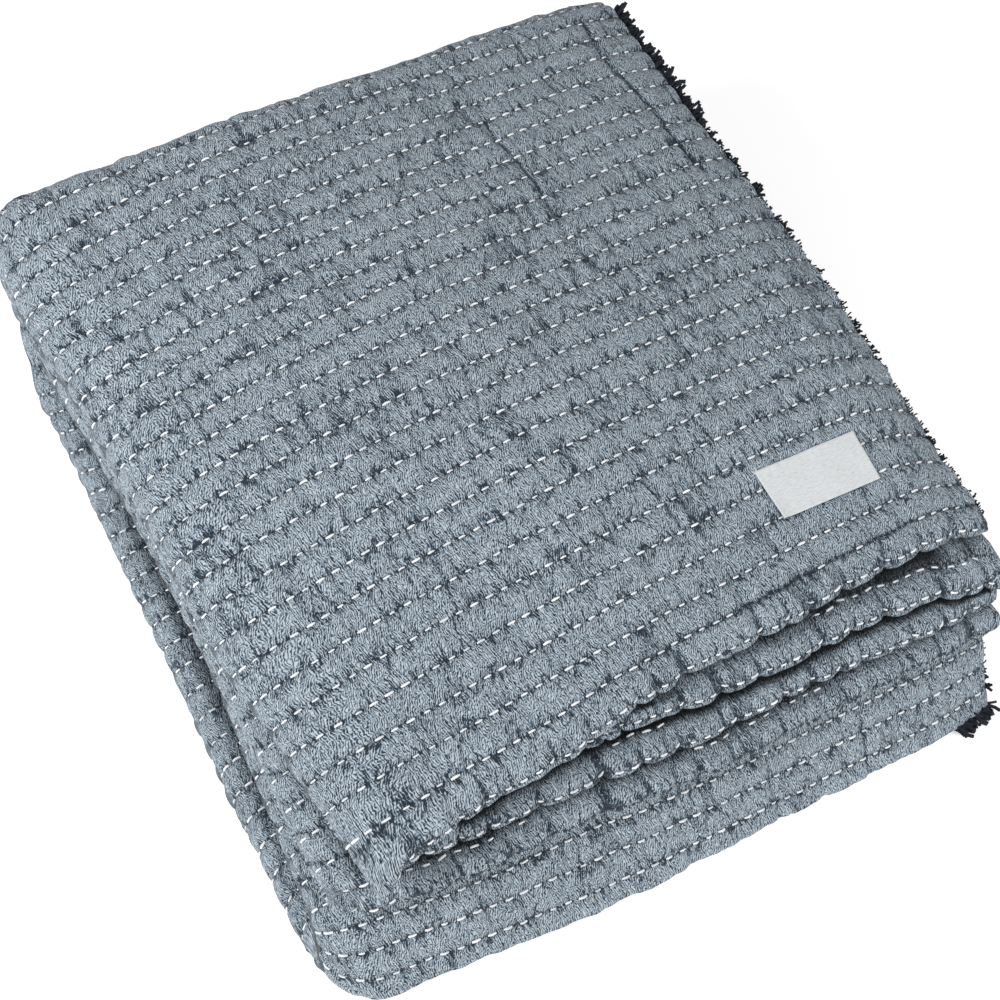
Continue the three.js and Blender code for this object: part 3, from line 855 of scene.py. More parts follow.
    def front_lines(self, step: float) -> list[Line]:
        """The lines of the front face and of the lower pass behind it."""
        s, fine, coarse = self.shape, self.fine, self.coarse
        front, lower = self.ruler(Run.FRONT, 1.0), self.ruler(Run.LOWER, 1.0)
        first = self.front_first * self.rows.spacing
        side = self.side_share(fine)
        lines: list[Line] = []
        for i in range(int(front.total / step), -1, -1):
            at = front.total - i * step - 0.01
            t = front.t(at)
            y = s.point(Run.FRONT, fine, t, rounding(fine))[:, 1]
            x = s.x_at(fine, y, 1)
            # painted shade on the front face's upper part, under the lowest lip, and none at the
            # far left
            dark = self.hidden(y, s.front_at(x, "four"), -2.0) if t > 0.6 else 0.0
            dark = dark * clamp01((x + 215) / 30)
            phi = first + front.total - at - self.front_phase
            share = lerp(side, 1.0, clamp01((t - 0.14) / 0.14))
            lines.append(self.line(Run.FRONT, fine, t, 1.0, 0, phi, share, 0.0, dark))
        # the lower pass's first part lies in the open under the lips
        phi = first - self.front_phase
        open_part = np.arange(step, 36, step)
        for at in open_part:
            t = lower.t(at)
            y = s.point(Run.LOWER, fine, t, rounding(fine))[:, 1]
            edge = s.front_at(s.x_at(fine, y, 1), "four")
            share = np.maximum(self.under(y, edge), side)
            # painted shade on the open part under the lowest lip, and none on the left folds
            dark = self.hidden(y, edge, -2.0) * (1 - side)
            lines.append(self.line(Run.LOWER, fine, t, 1.0, 0, phi - at, share, 0.0, dark))
        share = self.side_share(coarse)
        for at in np.arange(open_part[-1] + self.side_step, lower.total, self.side_step):
            lines.append(self.line(Run.LOWER, coarse, lower.t(at), 1.0, 0, phi - at, share))
        return lines

    def top_line(self, u: Values, y: Values, end: Values, start: Values, near: float = 0.0) -> Line:
        """A line of the top at given Y.

        Args:
            u: Places across the strip.
            y: Y of each point.
            end: Y where the back fold starts.
            start: Y where the lip's nose starts.
            near: How near the lip the line is, from 0 at the last plain row to 1 at the nose.

        Returns:
            The line.
        """
        t = (y - start) / (end - start)
        x = self.shape.x_at(u, y, 3)
        phi = self.rows.first - (y - self.rows.shift(x, y))
        if near > 0:
            phi = lerp(self.last_row * self.rows.spacing, self.nose_place, near) + 0 * u
        return self.line(Run.TOP, u, t, 1.0, start, phi, 1.0, self.pinch(x, "one", y - start))

    def grooved_line(self, a: np.ndarray) -> np.ndarray:
        """Y of the row that lies between the last plain row and the top lip's own."""
        last_row = self.last_row * self.rows.spacing
        share = (self.hem_number - 1 - self.last_row) * self.rows.spacing
        share /= self.nose_place - last_row
        x = np.maximum(a, self.rows.left_limit)
        low, high = (self.shape.x_at(u, -185.0, 3) for u in (0.0, 1.0))
        u = np.clip((x - low) / (high - low), -1, 1)
        start, _ = self.hem(u, 3, self.plies[0], "one")
        return lerp(self.rows.row_y(last_row, x), start, share)

    @property
    def nose_place(self) -> float:
        """Distance across the rows where the top lip's nose starts, in step with its rows."""
        return self.hem_number * self.rows.spacing + self.hem_row

    def plain_run(
        self, run: Run, across: float, u: np.ndarray, step: float, phi: float
    ) -> list[Line]:
        """Even lines along a run that hardly shows."""
        ruler = self.ruler(run, across, -200.0)
        count = max(2, int(ruler.total / step))
        lines = []
        for i in range(count):
            at = ruler.total * i / count
            share = self.side_share(u)
            lines.append(self.line(run, u, ruler.t(at), across, 0, -phi - at, share))
        return lines

    def hem_run(
        self, run: Run, ply: Ply, lip: str, across: float, shown: str | None
    ) -> list[Line]:
        """The upper run of a face up to its hem, fine near the hem.

        Args:
            run: Run.UPPER, or Run.TOP, whose lines are then in turned order.
            ply: The ply.
            lip: The hem's lip.
            across: The face's place in the strip's thickness.
            shown: The lip past whose edge the face shows, if it does.

        Returns:
            Lines in the order of the run.
        """
        s = self.shape
        top = run is Run.TOP
        level = 3 if top else 2
        last = len(self.plies) - 1
        is_outer = ply.index == 0 and across == ply.outside
        is_slit = not (is_outer or (ply.index == last and across == ply.inside))
        paired = (ply.index % 2 == 0) == (across == ply.inside)

        def ends(u: np.ndarray) -> tuple[np.ndarray, np.ndarray]:
            """Y where the hem starts and Y where the run's other end lies."""
            far = s.back_from(across * rounding(u)) if top else s.inner_start + 0 * u
            return self.hem(u, level, ply, lip)[0], far

        u_full = self.slit(self.fine) if paired else self.fine
        start, far = ends(u_full)
        side = self.side_share(u_full)
        depth = s.notch_depth if is_slit and not paired else 6.0
        zone = np.array([0, 0.5, 1.0]) * depth
        if shown:
            zone = np.concatenate([zone, np.arange(depth + self.shown_step, 52, self.shown_step)])
        lines = []
        for d in zone:
            y = start + d
            t = (y - start) / (far - start)
            x = s.x_at(u_full, y, level)
            # dark is painted shade: full where the face is hidden and none on the left folds; on a
            # face that shows past a lip it fades out past that lip's edge
            share, dark, pinch = 0.0 * u_full, 1.0 - side, 0.0 * x
            if shown:
                edge = s.front_at(x, shown) - self.scallop(x, shown)
                share = self.under(y, edge)
                dark = self.hidden(y, edge) * dark
                pinch = self.pinch(x, lip, d)
            if d == 0 and not paired:
                share = np.maximum(share, 0.35)
            share = np.maximum(share, side * (not is_slit))
            u = u_full if (d <= depth or not is_slit) else self.slit(u_full)
            k = np.isin(u_full, u)
            t = (t if top else 1 - t)[k]
            phi = self.hem_row - d
            lines.append(self.line(run, u, t, across, start[k], phi, share[k], pinch[k], dark[k]))
        # the rest of the run
        u = self.slit(self.coarse) if is_slit else self.coarse
        start, far = ends(u)
        share = 0 * u if is_slit else self.side_share(u)
        step = self.hidden_step if is_slit else self.side_step
        first = zone[-1] + step
        count = int((420 - zone[-1]) / step)
        for i in range(count):
            y = lerp(start + first, far - step, i / (count - 1) if count > 1 else 0)
            t = (y - start) / (far - start)
            phi = self.hem_row - first - i * step
            lines.append(self.line(run, u, t if top else 1 - t, across, start, phi, share))
        return lines if top else lines[::-1]

    def slit(self, u: np.ndarray) -> np.ndarray:
        """The places across the strip from the slit's inner end to the edge."""
        return u[u >= self.web - 1e-6]

    def inner_lines(self, ply: Ply, across: float) -> list[Line]:
        """Any face but the strip's outer one, from hem to hem."""
        is_slit = not (ply.index == 3 and across == ply.inside)
        u = self.slit(self.coarse) if is_slit else self.coarse
        step = self.hidden_step if is_slit else self.side_step
        top_shown = {2: "one"}.get(ply.index) if across == ply.outside else None
        upper_shown = {1: "three", 3: "two"}.get(ply.index) if across == ply.inside else None
        lines = self.hem_run(Run.TOP, ply, ply.top_lip, across, top_shown)
        phi = 0.0
        for run in (Run.BACK, Run.BOTTOM, Run.FRONT, Run.LOWER, Run.INNER):
            lines += self.plain_run(run, across, u, step, phi)
            phi += self.ruler(run, across).total
        lines += self.hem_run(Run.UPPER, ply, ply.upper_lip, across, upper_shown)
        return lines

    def nose(self, ply: Ply, level: int, lip: str) -> list[np.ndarray]:
        """The rounded nose of a lip, as lines of indices from its outside to its inside."""
        s, u = self.shape, self.fine
        start, radius = self.hem(u, level, ply, lip)
        x = s.x_at(u, start, level)
        first, second = self.pair(ply)
        outside = s.pass_height(level, self.across_at(u, first.outside), x, start)
        inside = s.pass_height(level, self.across_at(u, second.inside), x, start)
        a = self.along(u, x, level)
        top_one = ply.index == 0 and level == 3
        row = self.nose_place if top_one else self.hem_row
        lines = []
        for i in range(1, self.nose_steps):
            angle = math.pi * i / self.nose_steps
            z = (outside + inside) / 2 + (outside - inside) / 2 * math.cos(angle)
            points = np.stack([x, start - radius * math.sin(angle), z], -1)
            # on the upper pass the plies lie the other way up
            down = i / self.nose_steps if level == 3 else 1 - i / self.nose_steps
            arc = math.pi * down * radius
            share = lerp(1.0, 0.35, down**2)
            # painted shade on the underside of the nose
            dark = clamp01((down - 0.48) / 0.3) * (1 - self.side_share(u))
            pinch = self.pinch(x, lip, 0.0)
            places = np.broadcast_arrays(a, row + arc, share, pinch, dark)
            lines.append(self.pot.add(points, np.stack(places, -1).astype(float)))
        return lines

    def side_rows(self, run: Run, across: float) -> list[tuple[float, float, float]]:
        """Rows on the left folds: Y, place along the run and the hem, where a row's phase is 0."""
        notes = np.array(sorted(self.side_notes.get((run, across), [])))
        out = []
        for before, after in zip(notes[:-1], notes[1:]):
            row = math.ceil(before[0] / self.rows.spacing) * self.rows.spacing
            if before[0] <= row < after[0]:
                f = (row - before[0]) / (after[0] - before[0])
                out.append(tuple(float(v) for v in lerp(before[1:], after[1:], f)))
        return out

    # -- joining

    def join(self, lines: list[Line], flip: bool) -> None:
        """Joins a face's lines one after another."""
        for a, b in zip(lines[:-1], lines[1:]):
            low = max(a.u[0], b.u[0]) - 1e-9
            ka, kb = a.u >= low, b.u >= low
            self.pot.zip(a.ids[ka], a.u[ka], b.ids[kb], b.u[kb], flip)

    def build(self) -> None:
        """Builds the closed surface in the pot."""
        pot = self.pot
        faces: list[tuple[list[Line], list[Line]]] = []
        for ply in self.plies:
            outer = self.outer_lines() if ply.index == 0 else self.inner_lines(ply, ply.outside)
            inner = self.inner_lines(ply, ply.inside)
            faces.append((outer, inner))
            self.join(outer, False)
            self.join(inner, True)
        self.faces = faces
        for p in (0, 2):
            ply = self.plies[p]
            for end, level, lip, flip in ((0, 3, ply.top_lip, True), (-1, 2, ply.upper_lip, False)):
                first, last = faces[p][0][end].ids, faces[p + 1][1][end].ids
                chain = [first, *self.nose(ply, level, lip), last]
                for a, b in zip(chain[:-1], chain[1:]):
                    pot.strip(a, b, flip)
                self.chains[(p, end)] = chain
                pot.strip(faces[p][1][end].ids, faces[p + 1][0][end].ids, flip)
        self.notch_walls()
        self.slit_webs()
        self.left_cap()
        self.right_caps()

    def notch_walls(self) -> None:
        """Closes the notch between the two pairs of plies where the slit between them has ended."""
        above, below = self.faces[1][1], self.faces[2][0]
        for k, flip in ((2, True), (-3, False)):
            a, b = above[k], below[k]
            keep = a.u <= self.web + 1e-6
            self.pot.strip(a.ids[keep], b.ids[keep], flip)

    def slit_webs(self) -> None:
        """Closes each slit at its inner end."""
        for p in range(3):
            trim = slice(2, -2) if p == 1 else slice(None)
            above, below = self.faces[p][1][trim], self.faces[p + 1][0][trim]
            chain = []
            for face in (above, below):
                chain.append(np.array([l.ids[np.argmin(np.abs(l.u - self.web))] for l in face]))
                chain.append(np.array([l.progress for l in face]))
            self.pot.zip(*chain, True)

    def fill(self, loop: np.ndarray, towards: float) -> None:
        """Fills a loop of points that is nearly flat in X."""
        points = self.pot.arrays()[0]
        flat = [Vector((points[i][1], points[i][2])) for i in loop]
        n = len(loop)
        edges = [(i, (i + 1) % n) for i in range(n)]
        verts, _, tris, source, _, _ = delaunay_2d_cdt(flat, edges, [list(range(n))], 1, 1e-7)
        for tri in tris:
            ids = [int(loop[source[v][0]]) for v in tri]
            if len(set(ids)) < 3:
                continue
            a, b, c = (points[i] for i in ids)
            area = (b[1] - a[1]) * (c[2] - a[2]) - (b[2] - a[2]) * (c[1] - a[1])
            self.pot.tris.append(tuple(ids) if area * towards > 0 else tuple(reversed(ids)))

    def left_cap(self) -> None:
        """Closes the left end of all plies together."""
        above, below = self.faces[1][1], self.faces[2][0]

        def first(lines: list[Line]) -> list[int]:
            """The first point of each line."""
            return [int(line.ids[0]) for line in lines]

        def nose(ply: int, end: int) -> list[int]:
            """The first point of each line of a nose."""
            return [int(line[0]) for line in self.chains[(ply, end)]]

        loop = nose(0, 0) + first(above[1:3]) + first(below[2:0:-1])
        loop += nose(2, 0) + first(self.faces[3][1][1:-1]) + nose(2, -1)[::-1]
        loop += first(below[-2:-4:-1]) + first(above[-3:-1])
        loop += nose(0, -1)[::-1] + first(self.faces[0][0][-2:0:-1])
        self.fill(np.array(loop), -1.0)

    def right_caps(self) -> None:
        """Closes the right end of each ply and of each lip."""
        for outer, inner in self.faces:
            loop = [line.ids[-1] for line in (*inner, *outer[::-1])]
            self.fill(np.array(loop, int), 1.0)
        for (p, end), chain in self.chains.items():
            loop = [line[-1] for line in chain]
            loop += [self.faces[p + 1][0][end].ids[-1], self.faces[p][1][end].ids[-1]]
            self.fill(np.array(loop, int), 1.0)

    # -- relief

    def relief(self, places: np.ndarray) -> np.ndarray:
        """Height of the quilting over the sewn ground, at places on the cloth."""
        a, phi, share, pinch, _ = places.T
        spacing = self.rows.spacing
        row = np.floor(phi / spacing)
        d = phi - row * spacing
        wave = np.abs(np.sin(np.pi * d / spacing))
        plump = wave**0.5
        # puckers run across the rows, each band with its own
        lane = row + 0.5
        pull = soft_noise(a / 12.0, lane * 7.3, 21) + 0.7 * soft_noise(a / 6.3, lane * 5.1, 22)
        lean = a + 6 * np.sin(phi / 9.0) * soft_noise(a / 60, lane, 24)
        crease = 1 - np.abs(soft_noise(lean / 16.0, phi / 70.0 + 0.3 * lane, 23))
        crease = np.clip((crease - 0.8) / 0.2, 0, 1) ** 1.4
        stitch = (a - self.rows.phase(np.round(phi / spacing))) / self.rows.pitch
        drawn = np.abs(np.sin(np.pi * stitch))
        height = 2.5 * plump + 0.75 * pull * plump - 1.6 * crease * wave**0.3
        height += 0.5 * (1 - drawn) * (1 - wave) + 0.7 * soft_noise(a / 70, phi / 60, 25)
        height -= self.long_creases(a, phi) + pinch * (0.35 + 0.65 * wave)
        return share * np.maximum(height, -0.8)

    def long_creases(self, a: Values, phi: Values) -> np.ndarray:
        """Depth of the long creases that cross several rows of the top and of the front face."""
        depth = np.zeros_like(a)
        first = self.front_first * self.rows.spacing
        for table, start in ((self.top_creases, 0.0), (self.creases, first)):
            for crease in table:
                into = np.minimum(phi - start - crease["from"], crease["to"] - phi + start)
                at = crease["a"]
                bend = at + 1.6 * np.sin(phi / 15.0 + at) + 1.2 * np.sin(phi / 41.0 + 2 * at)
                depth += clamp01(into / 9.0) * crease["deep"] * np.exp(-(((a - bend) / 2.3) ** 2))
        return depth

    def finish_mesh(self, name: str, material: bpy.types.Material) -> bpy.types.Object:
        """Raises the relief and makes the object.

        Args:
            name: The object's name.
            material: The gauze's finish.

        Returns:
            The cloth.
        """
        points, places = self.pot.arrays()
        mesh = new_mesh(name, points, np.concatenate(self.pot.quads), np.array(self.pot.tris, int))
        normals = np.zeros(len(points) * 3)
        mesh.vertices.foreach_get("normal", normals)
        raised = points + normals.reshape(-1, 3) * self.relief(places)[:, None]
        raised[:, 2] = np.maximum(raised[:, 2], 0.0)
        raised = (raised - np.array([*self.offset, 0.0])) * MM
        mesh.vertices.foreach_set("co", raised.astype(np.float32).ravel())
        set_uv(mesh, "Cloth", places[:, :2] * MM)
        # the painted shade, and the depth of the creases, in which the gauze paints shade, go to
        # the shader
        crease = (self.long_creases(places[:, 0], places[:, 1]) + places[:, 3]) * places[:, 2]
        for key, value in (("painted_shade", places[:, 4]), ("crease", np.minimum(crease / 2.4, 1.0))):
            layer = mesh.attributes.new(key, "FLOAT", "POINT")
            layer.data.foreach_set("value", value.astype(np.float32))
        mesh.update()
        return add_object(name, mesh, material)


def new_mesh(
    name: str, points: np.ndarray, quads: np.ndarray, tris: np.ndarray
) -> bpy.types.Mesh:
    """Makes a smooth mesh from points, quads and triangles."""
    mesh = bpy.data.meshes.new(name)
    mesh.from_pydata(points.tolist(), [], quads.tolist() + tris.tolist())
    mesh.polygons.foreach_set("use_smooth", [True] * len(mesh.polygons))
    mesh.update()
    return mesh


def set_uv(mesh: bpy.types.Mesh, name: str, uv: np.ndarray) -> None:
    """Adds a UV layer from a place for each point."""
    layer = mesh.uv_layers.new(name=name)
    loops = np.zeros(len(mesh.loops), int)
    mesh.loops.foreach_get("vertex_index", loops)
    layer.data.foreach_set("uv", uv[loops].astype(np.float32).ravel())


# ---------------------------------------------------------------- node helpers


def add_node(
    tree: bpy.types.NodeTree, kind: str, settings: dict | None = None, feeds: dict | None = None
) -> bpy.types.Node:
    """Adds a node with its settings and links.

    Args:
        tree: The node tree.
        kind: The node's type.
        settings: Attributes of the node, or values of its inputs by name or number.
        feeds: The output or the value that feeds each input, by the input's name or number.

    Returns:
        The node.
    """
    node = tree.nodes.new(kind)
    for key, value in (settings or {}).items():
        if isinstance(key, int) or key not in node.bl_rna.properties:
            node.inputs[key].default_value = value
        else:
            setattr(node, key, value)
    for key, value in (feeds or {}).items():
        if isinstance(value, bpy.types.NodeSocket):
            tree.links.new(value, node.inputs[key])
        else:
            node.inputs[key].default_value = value
    return node


class NodeSums:
    """Sums in a node tree, each between sockets or numbers."""

    def __init__(self, tree: bpy.types.NodeTree) -> None:
        """Keeps the tree.

        Args:
            tree: The tree that the nodes are added to.
        """
        self.tree = tree

    def calc(self, operation: str, a: Feed, b: Feed = 0.0, c: Feed = 0.0) -> bpy.types.NodeSocket:
        """One operation on up to three values."""
        feeds = {0: a, 1: b, 2: c}
        return add_node(self.tree, "ShaderNodeMath", {"operation": operation}, feeds).outputs[0]

    def vector(self, x: Feed, y: Feed, z: Feed) -> bpy.types.NodeSocket:
        """A vector from three values."""
        return add_node(self.tree, "ShaderNodeCombineXYZ", None, {0: x, 1: y, 2: z}).outputs[0]

    def total(self, first: Feed, *terms: tuple) -> bpy.types.NodeSocket:
        """A sum of a first value and of more, each with its weight."""
        out = first
        for value, weight in terms:
            out = self.calc("MULTIPLY_ADD", value, weight, out)
        return out

    def step(
        self, value: Feed, low: float, high: float, start: Feed = 0.0, end: Feed = 1.0
    ) -> bpy.types.NodeSocket:
        """A soft step from start to end as the value goes from low to high."""
        feeds = {0: value, "From Min": low, "From Max": high, "To Min": start, "To Max": end}
        settings = {"interpolation_type": "SMOOTHSTEP"}
        return add_node(self.tree, "ShaderNodeMapRange", settings, feeds).outputs[0]

    def noise(
        self, x: Feed, y: Feed, wide: float, long: float, place: Feed, detail: Feed = 0.0
    ) -> bpy.types.NodeSocket:
        """Noise whose marks are wide along the rows and long across them, in millimetres."""
        where = self.vector(self.calc("DIVIDE", x, wide), self.calc("DIVIDE", y, long), place)
        feeds = {"Vector": where, "Scale": 1.0, "Detail": detail}
        return add_node(self.tree, "ShaderNodeTexNoise", None, feeds).outputs[0]

    def stray(
        self, x: Feed, y: Feed, wide: float, long: float, place: Feed, detail: Feed = 0.0
    ) -> bpy.types.NodeSocket:
        """Noise as above, moved to lie round 0."""
        return self.calc("SUBTRACT", self.noise(x, y, wide, long, place, detail), 0.5)

    def valley(self, value: Feed, width: float) -> bpy.types.NodeSocket:
        """1 on the lines where a noise crosses its middle, 0 away from them."""
        away = self.calc("ABSOLUTE", self.calc("SUBTRACT", value, 0.5))
        return self.step(away, 0.0, width, 1.0, 0.0)


def add_ramp(
    tree: bpy.types.NodeTree, value: bpy.types.NodeSocket, stops: dict[float, str]
) -> bpy.types.NodeSocket:
    """Turns a value to a colour between stops of hex digits."""
    node = add_node(tree, "ShaderNodeValToRGB", None, {0: value})
    places = sorted(stops)
    marks = node.color_ramp.elements
    marks[0].position, marks[1].position = places[0], places[-1]
    for place in places[1:-1]:
        marks.new(place)
    for mark, place in zip(marks, places):
        mark.color = linear(stops[place])
    return node.outputs[0]


def add_bump(
    tree: bpy.types.NodeTree,
    shader: bpy.types.Node,
    height: bpy.types.NodeSocket,
    distance: float,
    strength: float,
) -> None:
    """Gives a shader the relief of a height."""
    settings = {"Strength": strength, "Distance": distance}
    bump = add_node(tree, "ShaderNodeBump", settings, {"Height": height})
    tree.links.new(bump.outputs[0], shader.inputs["Normal"])


def add_object(
    name: str, data: bpy.types.ID, material: bpy.types.Material | None = None
) -> bpy.types.Object:
    """Makes an object at the origin from a mesh, a camera or a light."""
    obj = bpy.data.objects.new(name, data)
    bpy.context.scene.collection.objects.link(obj)
    if material is not None:
        data.materials.append(material)
    return obj


def triangles(obj: bpy.types.Object) -> int:
    """Counts a piece's triangles."""
    return sum(len(face.vertices) - 2 for face in obj.data.polygons)


def bake_tree(obj: bpy.types.Object, tree: bpy.types.NodeTree, values: dict[str, float]) -> None:
    """Runs a Geometry Nodes tree on an object and keeps its result as a plain mesh.

    Args:
        obj: The object.
        tree: The tree.
        values: Its inputs by name.
    """
    modifier = obj.modifiers.new(tree.name, "NODES")
    modifier.node_group = tree
    for item in tree.interface.items_tree:
        if item.item_type == "SOCKET" and item.in_out == "INPUT" and item.name in values:
            modifier[item.identifier] = values[item.name]
    graph = bpy.context.evaluated_depsgraph_get()
    mesh = bpy.data.meshes.new_from_object(obj.evaluated_get(graph))
    old = obj.data
    obj.modifiers.remove(modifier)
    obj.data = mesh
    mesh.name = obj.name
    bpy.data.meshes.remove(old)


def keep_off_floor(obj: bpy.types.Object, least: float) -> None:
    """Lifts the points of a mesh that lie lower than a height in metres."""
    co = np.zeros(len(obj.data.vertices) * 3, np.float32)
    obj.data.vertices.foreach_get("co", co)
    co = co.reshape(-1, 3)
    co[:, 2] = np.maximum(co[:, 2], least)
    obj.data.vertices.foreach_set("co", co.ravel())
    obj.data.update()


def point_cloud(name: str, points: np.ndarray, fields: dict[str, np.ndarray]) -> bpy.types.Object:
    """Makes an object of loose points with named fields on them.

    Args:
        name: The object's name.
        points: Places in metres.
        fields: Vectors or numbers for each point.

    Returns:
        The object.
    """
    mesh = bpy.data.meshes.new(name)
    mesh.from_pydata(points.tolist(), [], [])
    for key, value in fields.items():
        vector = value.ndim == 2
        layer = mesh.attributes.new(key, "FLOAT_VECTOR" if vector else "FLOAT", "POINT")
        layer.data.foreach_set("vector" if vector else "value", value.astype(np.float32).ravel())
    return add_object(name, mesh)


def thread_tree(name: str, material: bpy.types.Material, bends: bool) -> bpy.types.NodeTree:
    """A tree that sets one short thread on each point.

    A point's fields are run (along the thread's root), lift (off the cloth) and size.

    Args:
        name: The tree's name.
        material: The thread's finish.
        bends: Whether each thread is turned and bent at random, as frayed ends are.

    Returns:
        The tree.
    """
    tree = bpy.data.node_groups.new(name, "GeometryNodeTree")
    face = tree.interface
    face.new_socket("Points", in_out="INPUT", socket_type="NodeSocketGeometry")
    for key in ("Length", "Radius", "Rise", "Sides", "Spread"):
        face.new_socket(key, in_out="INPUT", socket_type="NodeSocketFloat")
    face.new_socket("Seed", in_out="INPUT", socket_type="NodeSocketInt")
    face.new_socket("Threads", in_out="OUTPUT", socket_type="NodeSocketGeometry")
    out = add_node(tree, "NodeGroupInput").outputs
    sums = NodeSums(tree)
    times, place = partial(sums.calc, "MULTIPLY"), sums.vector
    length, rise, wide = out["Length"], out["Rise"], out["Spread"]
    along = add_node(tree, "GeometryNodeSplineParameter").outputs["Factor"]
    if bends:
        start = place(0.0, 0.0, 0.0)
        middle = place(times(length, 0.55), 0.0, rise)
        end = place(length, 0.0, times(rise, -0.3))
        taper = sums.calc("SUBTRACT", 1.0, times(along, 0.62))
    else:
        half, sunk = times(length, 0.5), times(rise, -1.0)
        start = place(times(half, -1.0), 0.0, sunk)
        middle = place(0.0, 0.0, times(rise, 2.0))
        end = place(half, 0.0, sunk)
        away = sums.calc("ABSOLUTE", sums.calc("SUBTRACT", along, 0.5))
        taper = sums.calc("SUBTRACT", 1.0, times(away, 1.72))
    feeds = {"Resolution": 4, "Start": start, "Middle": middle, "End": end}
    arc = add_node(tree, "GeometryNodeCurveQuadraticBezier", None, feeds).outputs[0]
    feeds = {"Curve": arc, "Radius": taper}
    shaped = add_node(tree, "GeometryNodeSetCurveRadius", None, feeds).outputs[0]
    feeds = {"Radius": out["Radius"], "Resolution": out["Sides"]}
    ring = add_node(tree, "GeometryNodeCurvePrimitiveCircle", None, feeds).outputs[0]
    feeds = {"Curve": shaped, "Profile Curve": ring}
    tube = add_node(tree, "GeometryNodeCurveToMesh", {"Fill Caps": True}, feeds).outputs[0]
    fields = []
    for key, kind in (("run", "FLOAT_VECTOR"), ("lift", "FLOAT_VECTOR"), ("size", "FLOAT")):
        settings = {"data_type": kind, "Name": key}
        fields.append(add_node(tree, "GeometryNodeInputNamedAttribute", settings).outputs[0])
    run, lift, size = fields
    settings = {"primary_axis": "X", "secondary_axis": "Z"}
    feeds = {"Primary Axis": run, "Secondary Axis": lift}
    turned = add_node(tree, "FunctionNodeAxesToRotation", settings, feeds).outputs[0]
    if bends:
        back = times(wide, -1.0)
        feeds = {0: place(-3.14, back, back), 1: place(3.14, wide, wide), "Seed": out["Seed"]}
        settings = {"data_type": "FLOAT_VECTOR"}
        spin = add_node(tree, "FunctionNodeRandomValue", settings, feeds).outputs[0]
        euler = add_node(tree, "FunctionNodeEulerToRotation", None, {0: spin}).outputs[0]
        settings = {"rotation_space": "LOCAL"}
        feeds = {0: turned, 1: euler}
        turned = add_node(tree, "FunctionNodeRotateRotation", settings, feeds).outputs[0]
    feeds = {"Points": out["Points"], "Instance": tube, "Rotation": turned, "Scale": size}
    threads = add_node(tree, "GeometryNodeInstanceOnPoints", None, feeds).outputs[0]
    real = add_node(tree, "GeometryNodeRealizeInstances", None, {0: threads}).outputs[0]
    smooth = add_node(tree, "GeometryNodeSetShadeSmooth", None, {"Geometry": real}).outputs[0]
    feeds = {"Geometry": smooth, "Material": material}
    dressed = add_node(tree, "GeometryNodeSetMaterial", None, feeds).outputs[0]
    add_node(tree, "NodeGroupOutput", None, {0: dressed})
    return tree


# ---------------------------------------------------------------- finishes


def principled(
    name: str, colour: str, roughness: float, settings: dict | None = None
) -> tuple[bpy.types.Material, bpy.types.NodeTree, bpy.types.Node]:
    """Makes a material with a Principled shader.

    Args:
        name: The material's name.
        colour: Its base colour as hex digits.
        roughness: Its roughness.
        settings: More inputs of the shader.

    Returns:
        The material, its tree and its shader.
    """
    material = bpy.data.materials.new(name)
    material.use_nodes = True
    tree = material.node_tree
    shader = tree.nodes["Principled BSDF"]
    values = {"Base Color": linear(colour), "Roughness": roughness, **(settings or {})}
    for key, value in values.items():
        shader.inputs[key].default_value = value
    return material, tree, shader


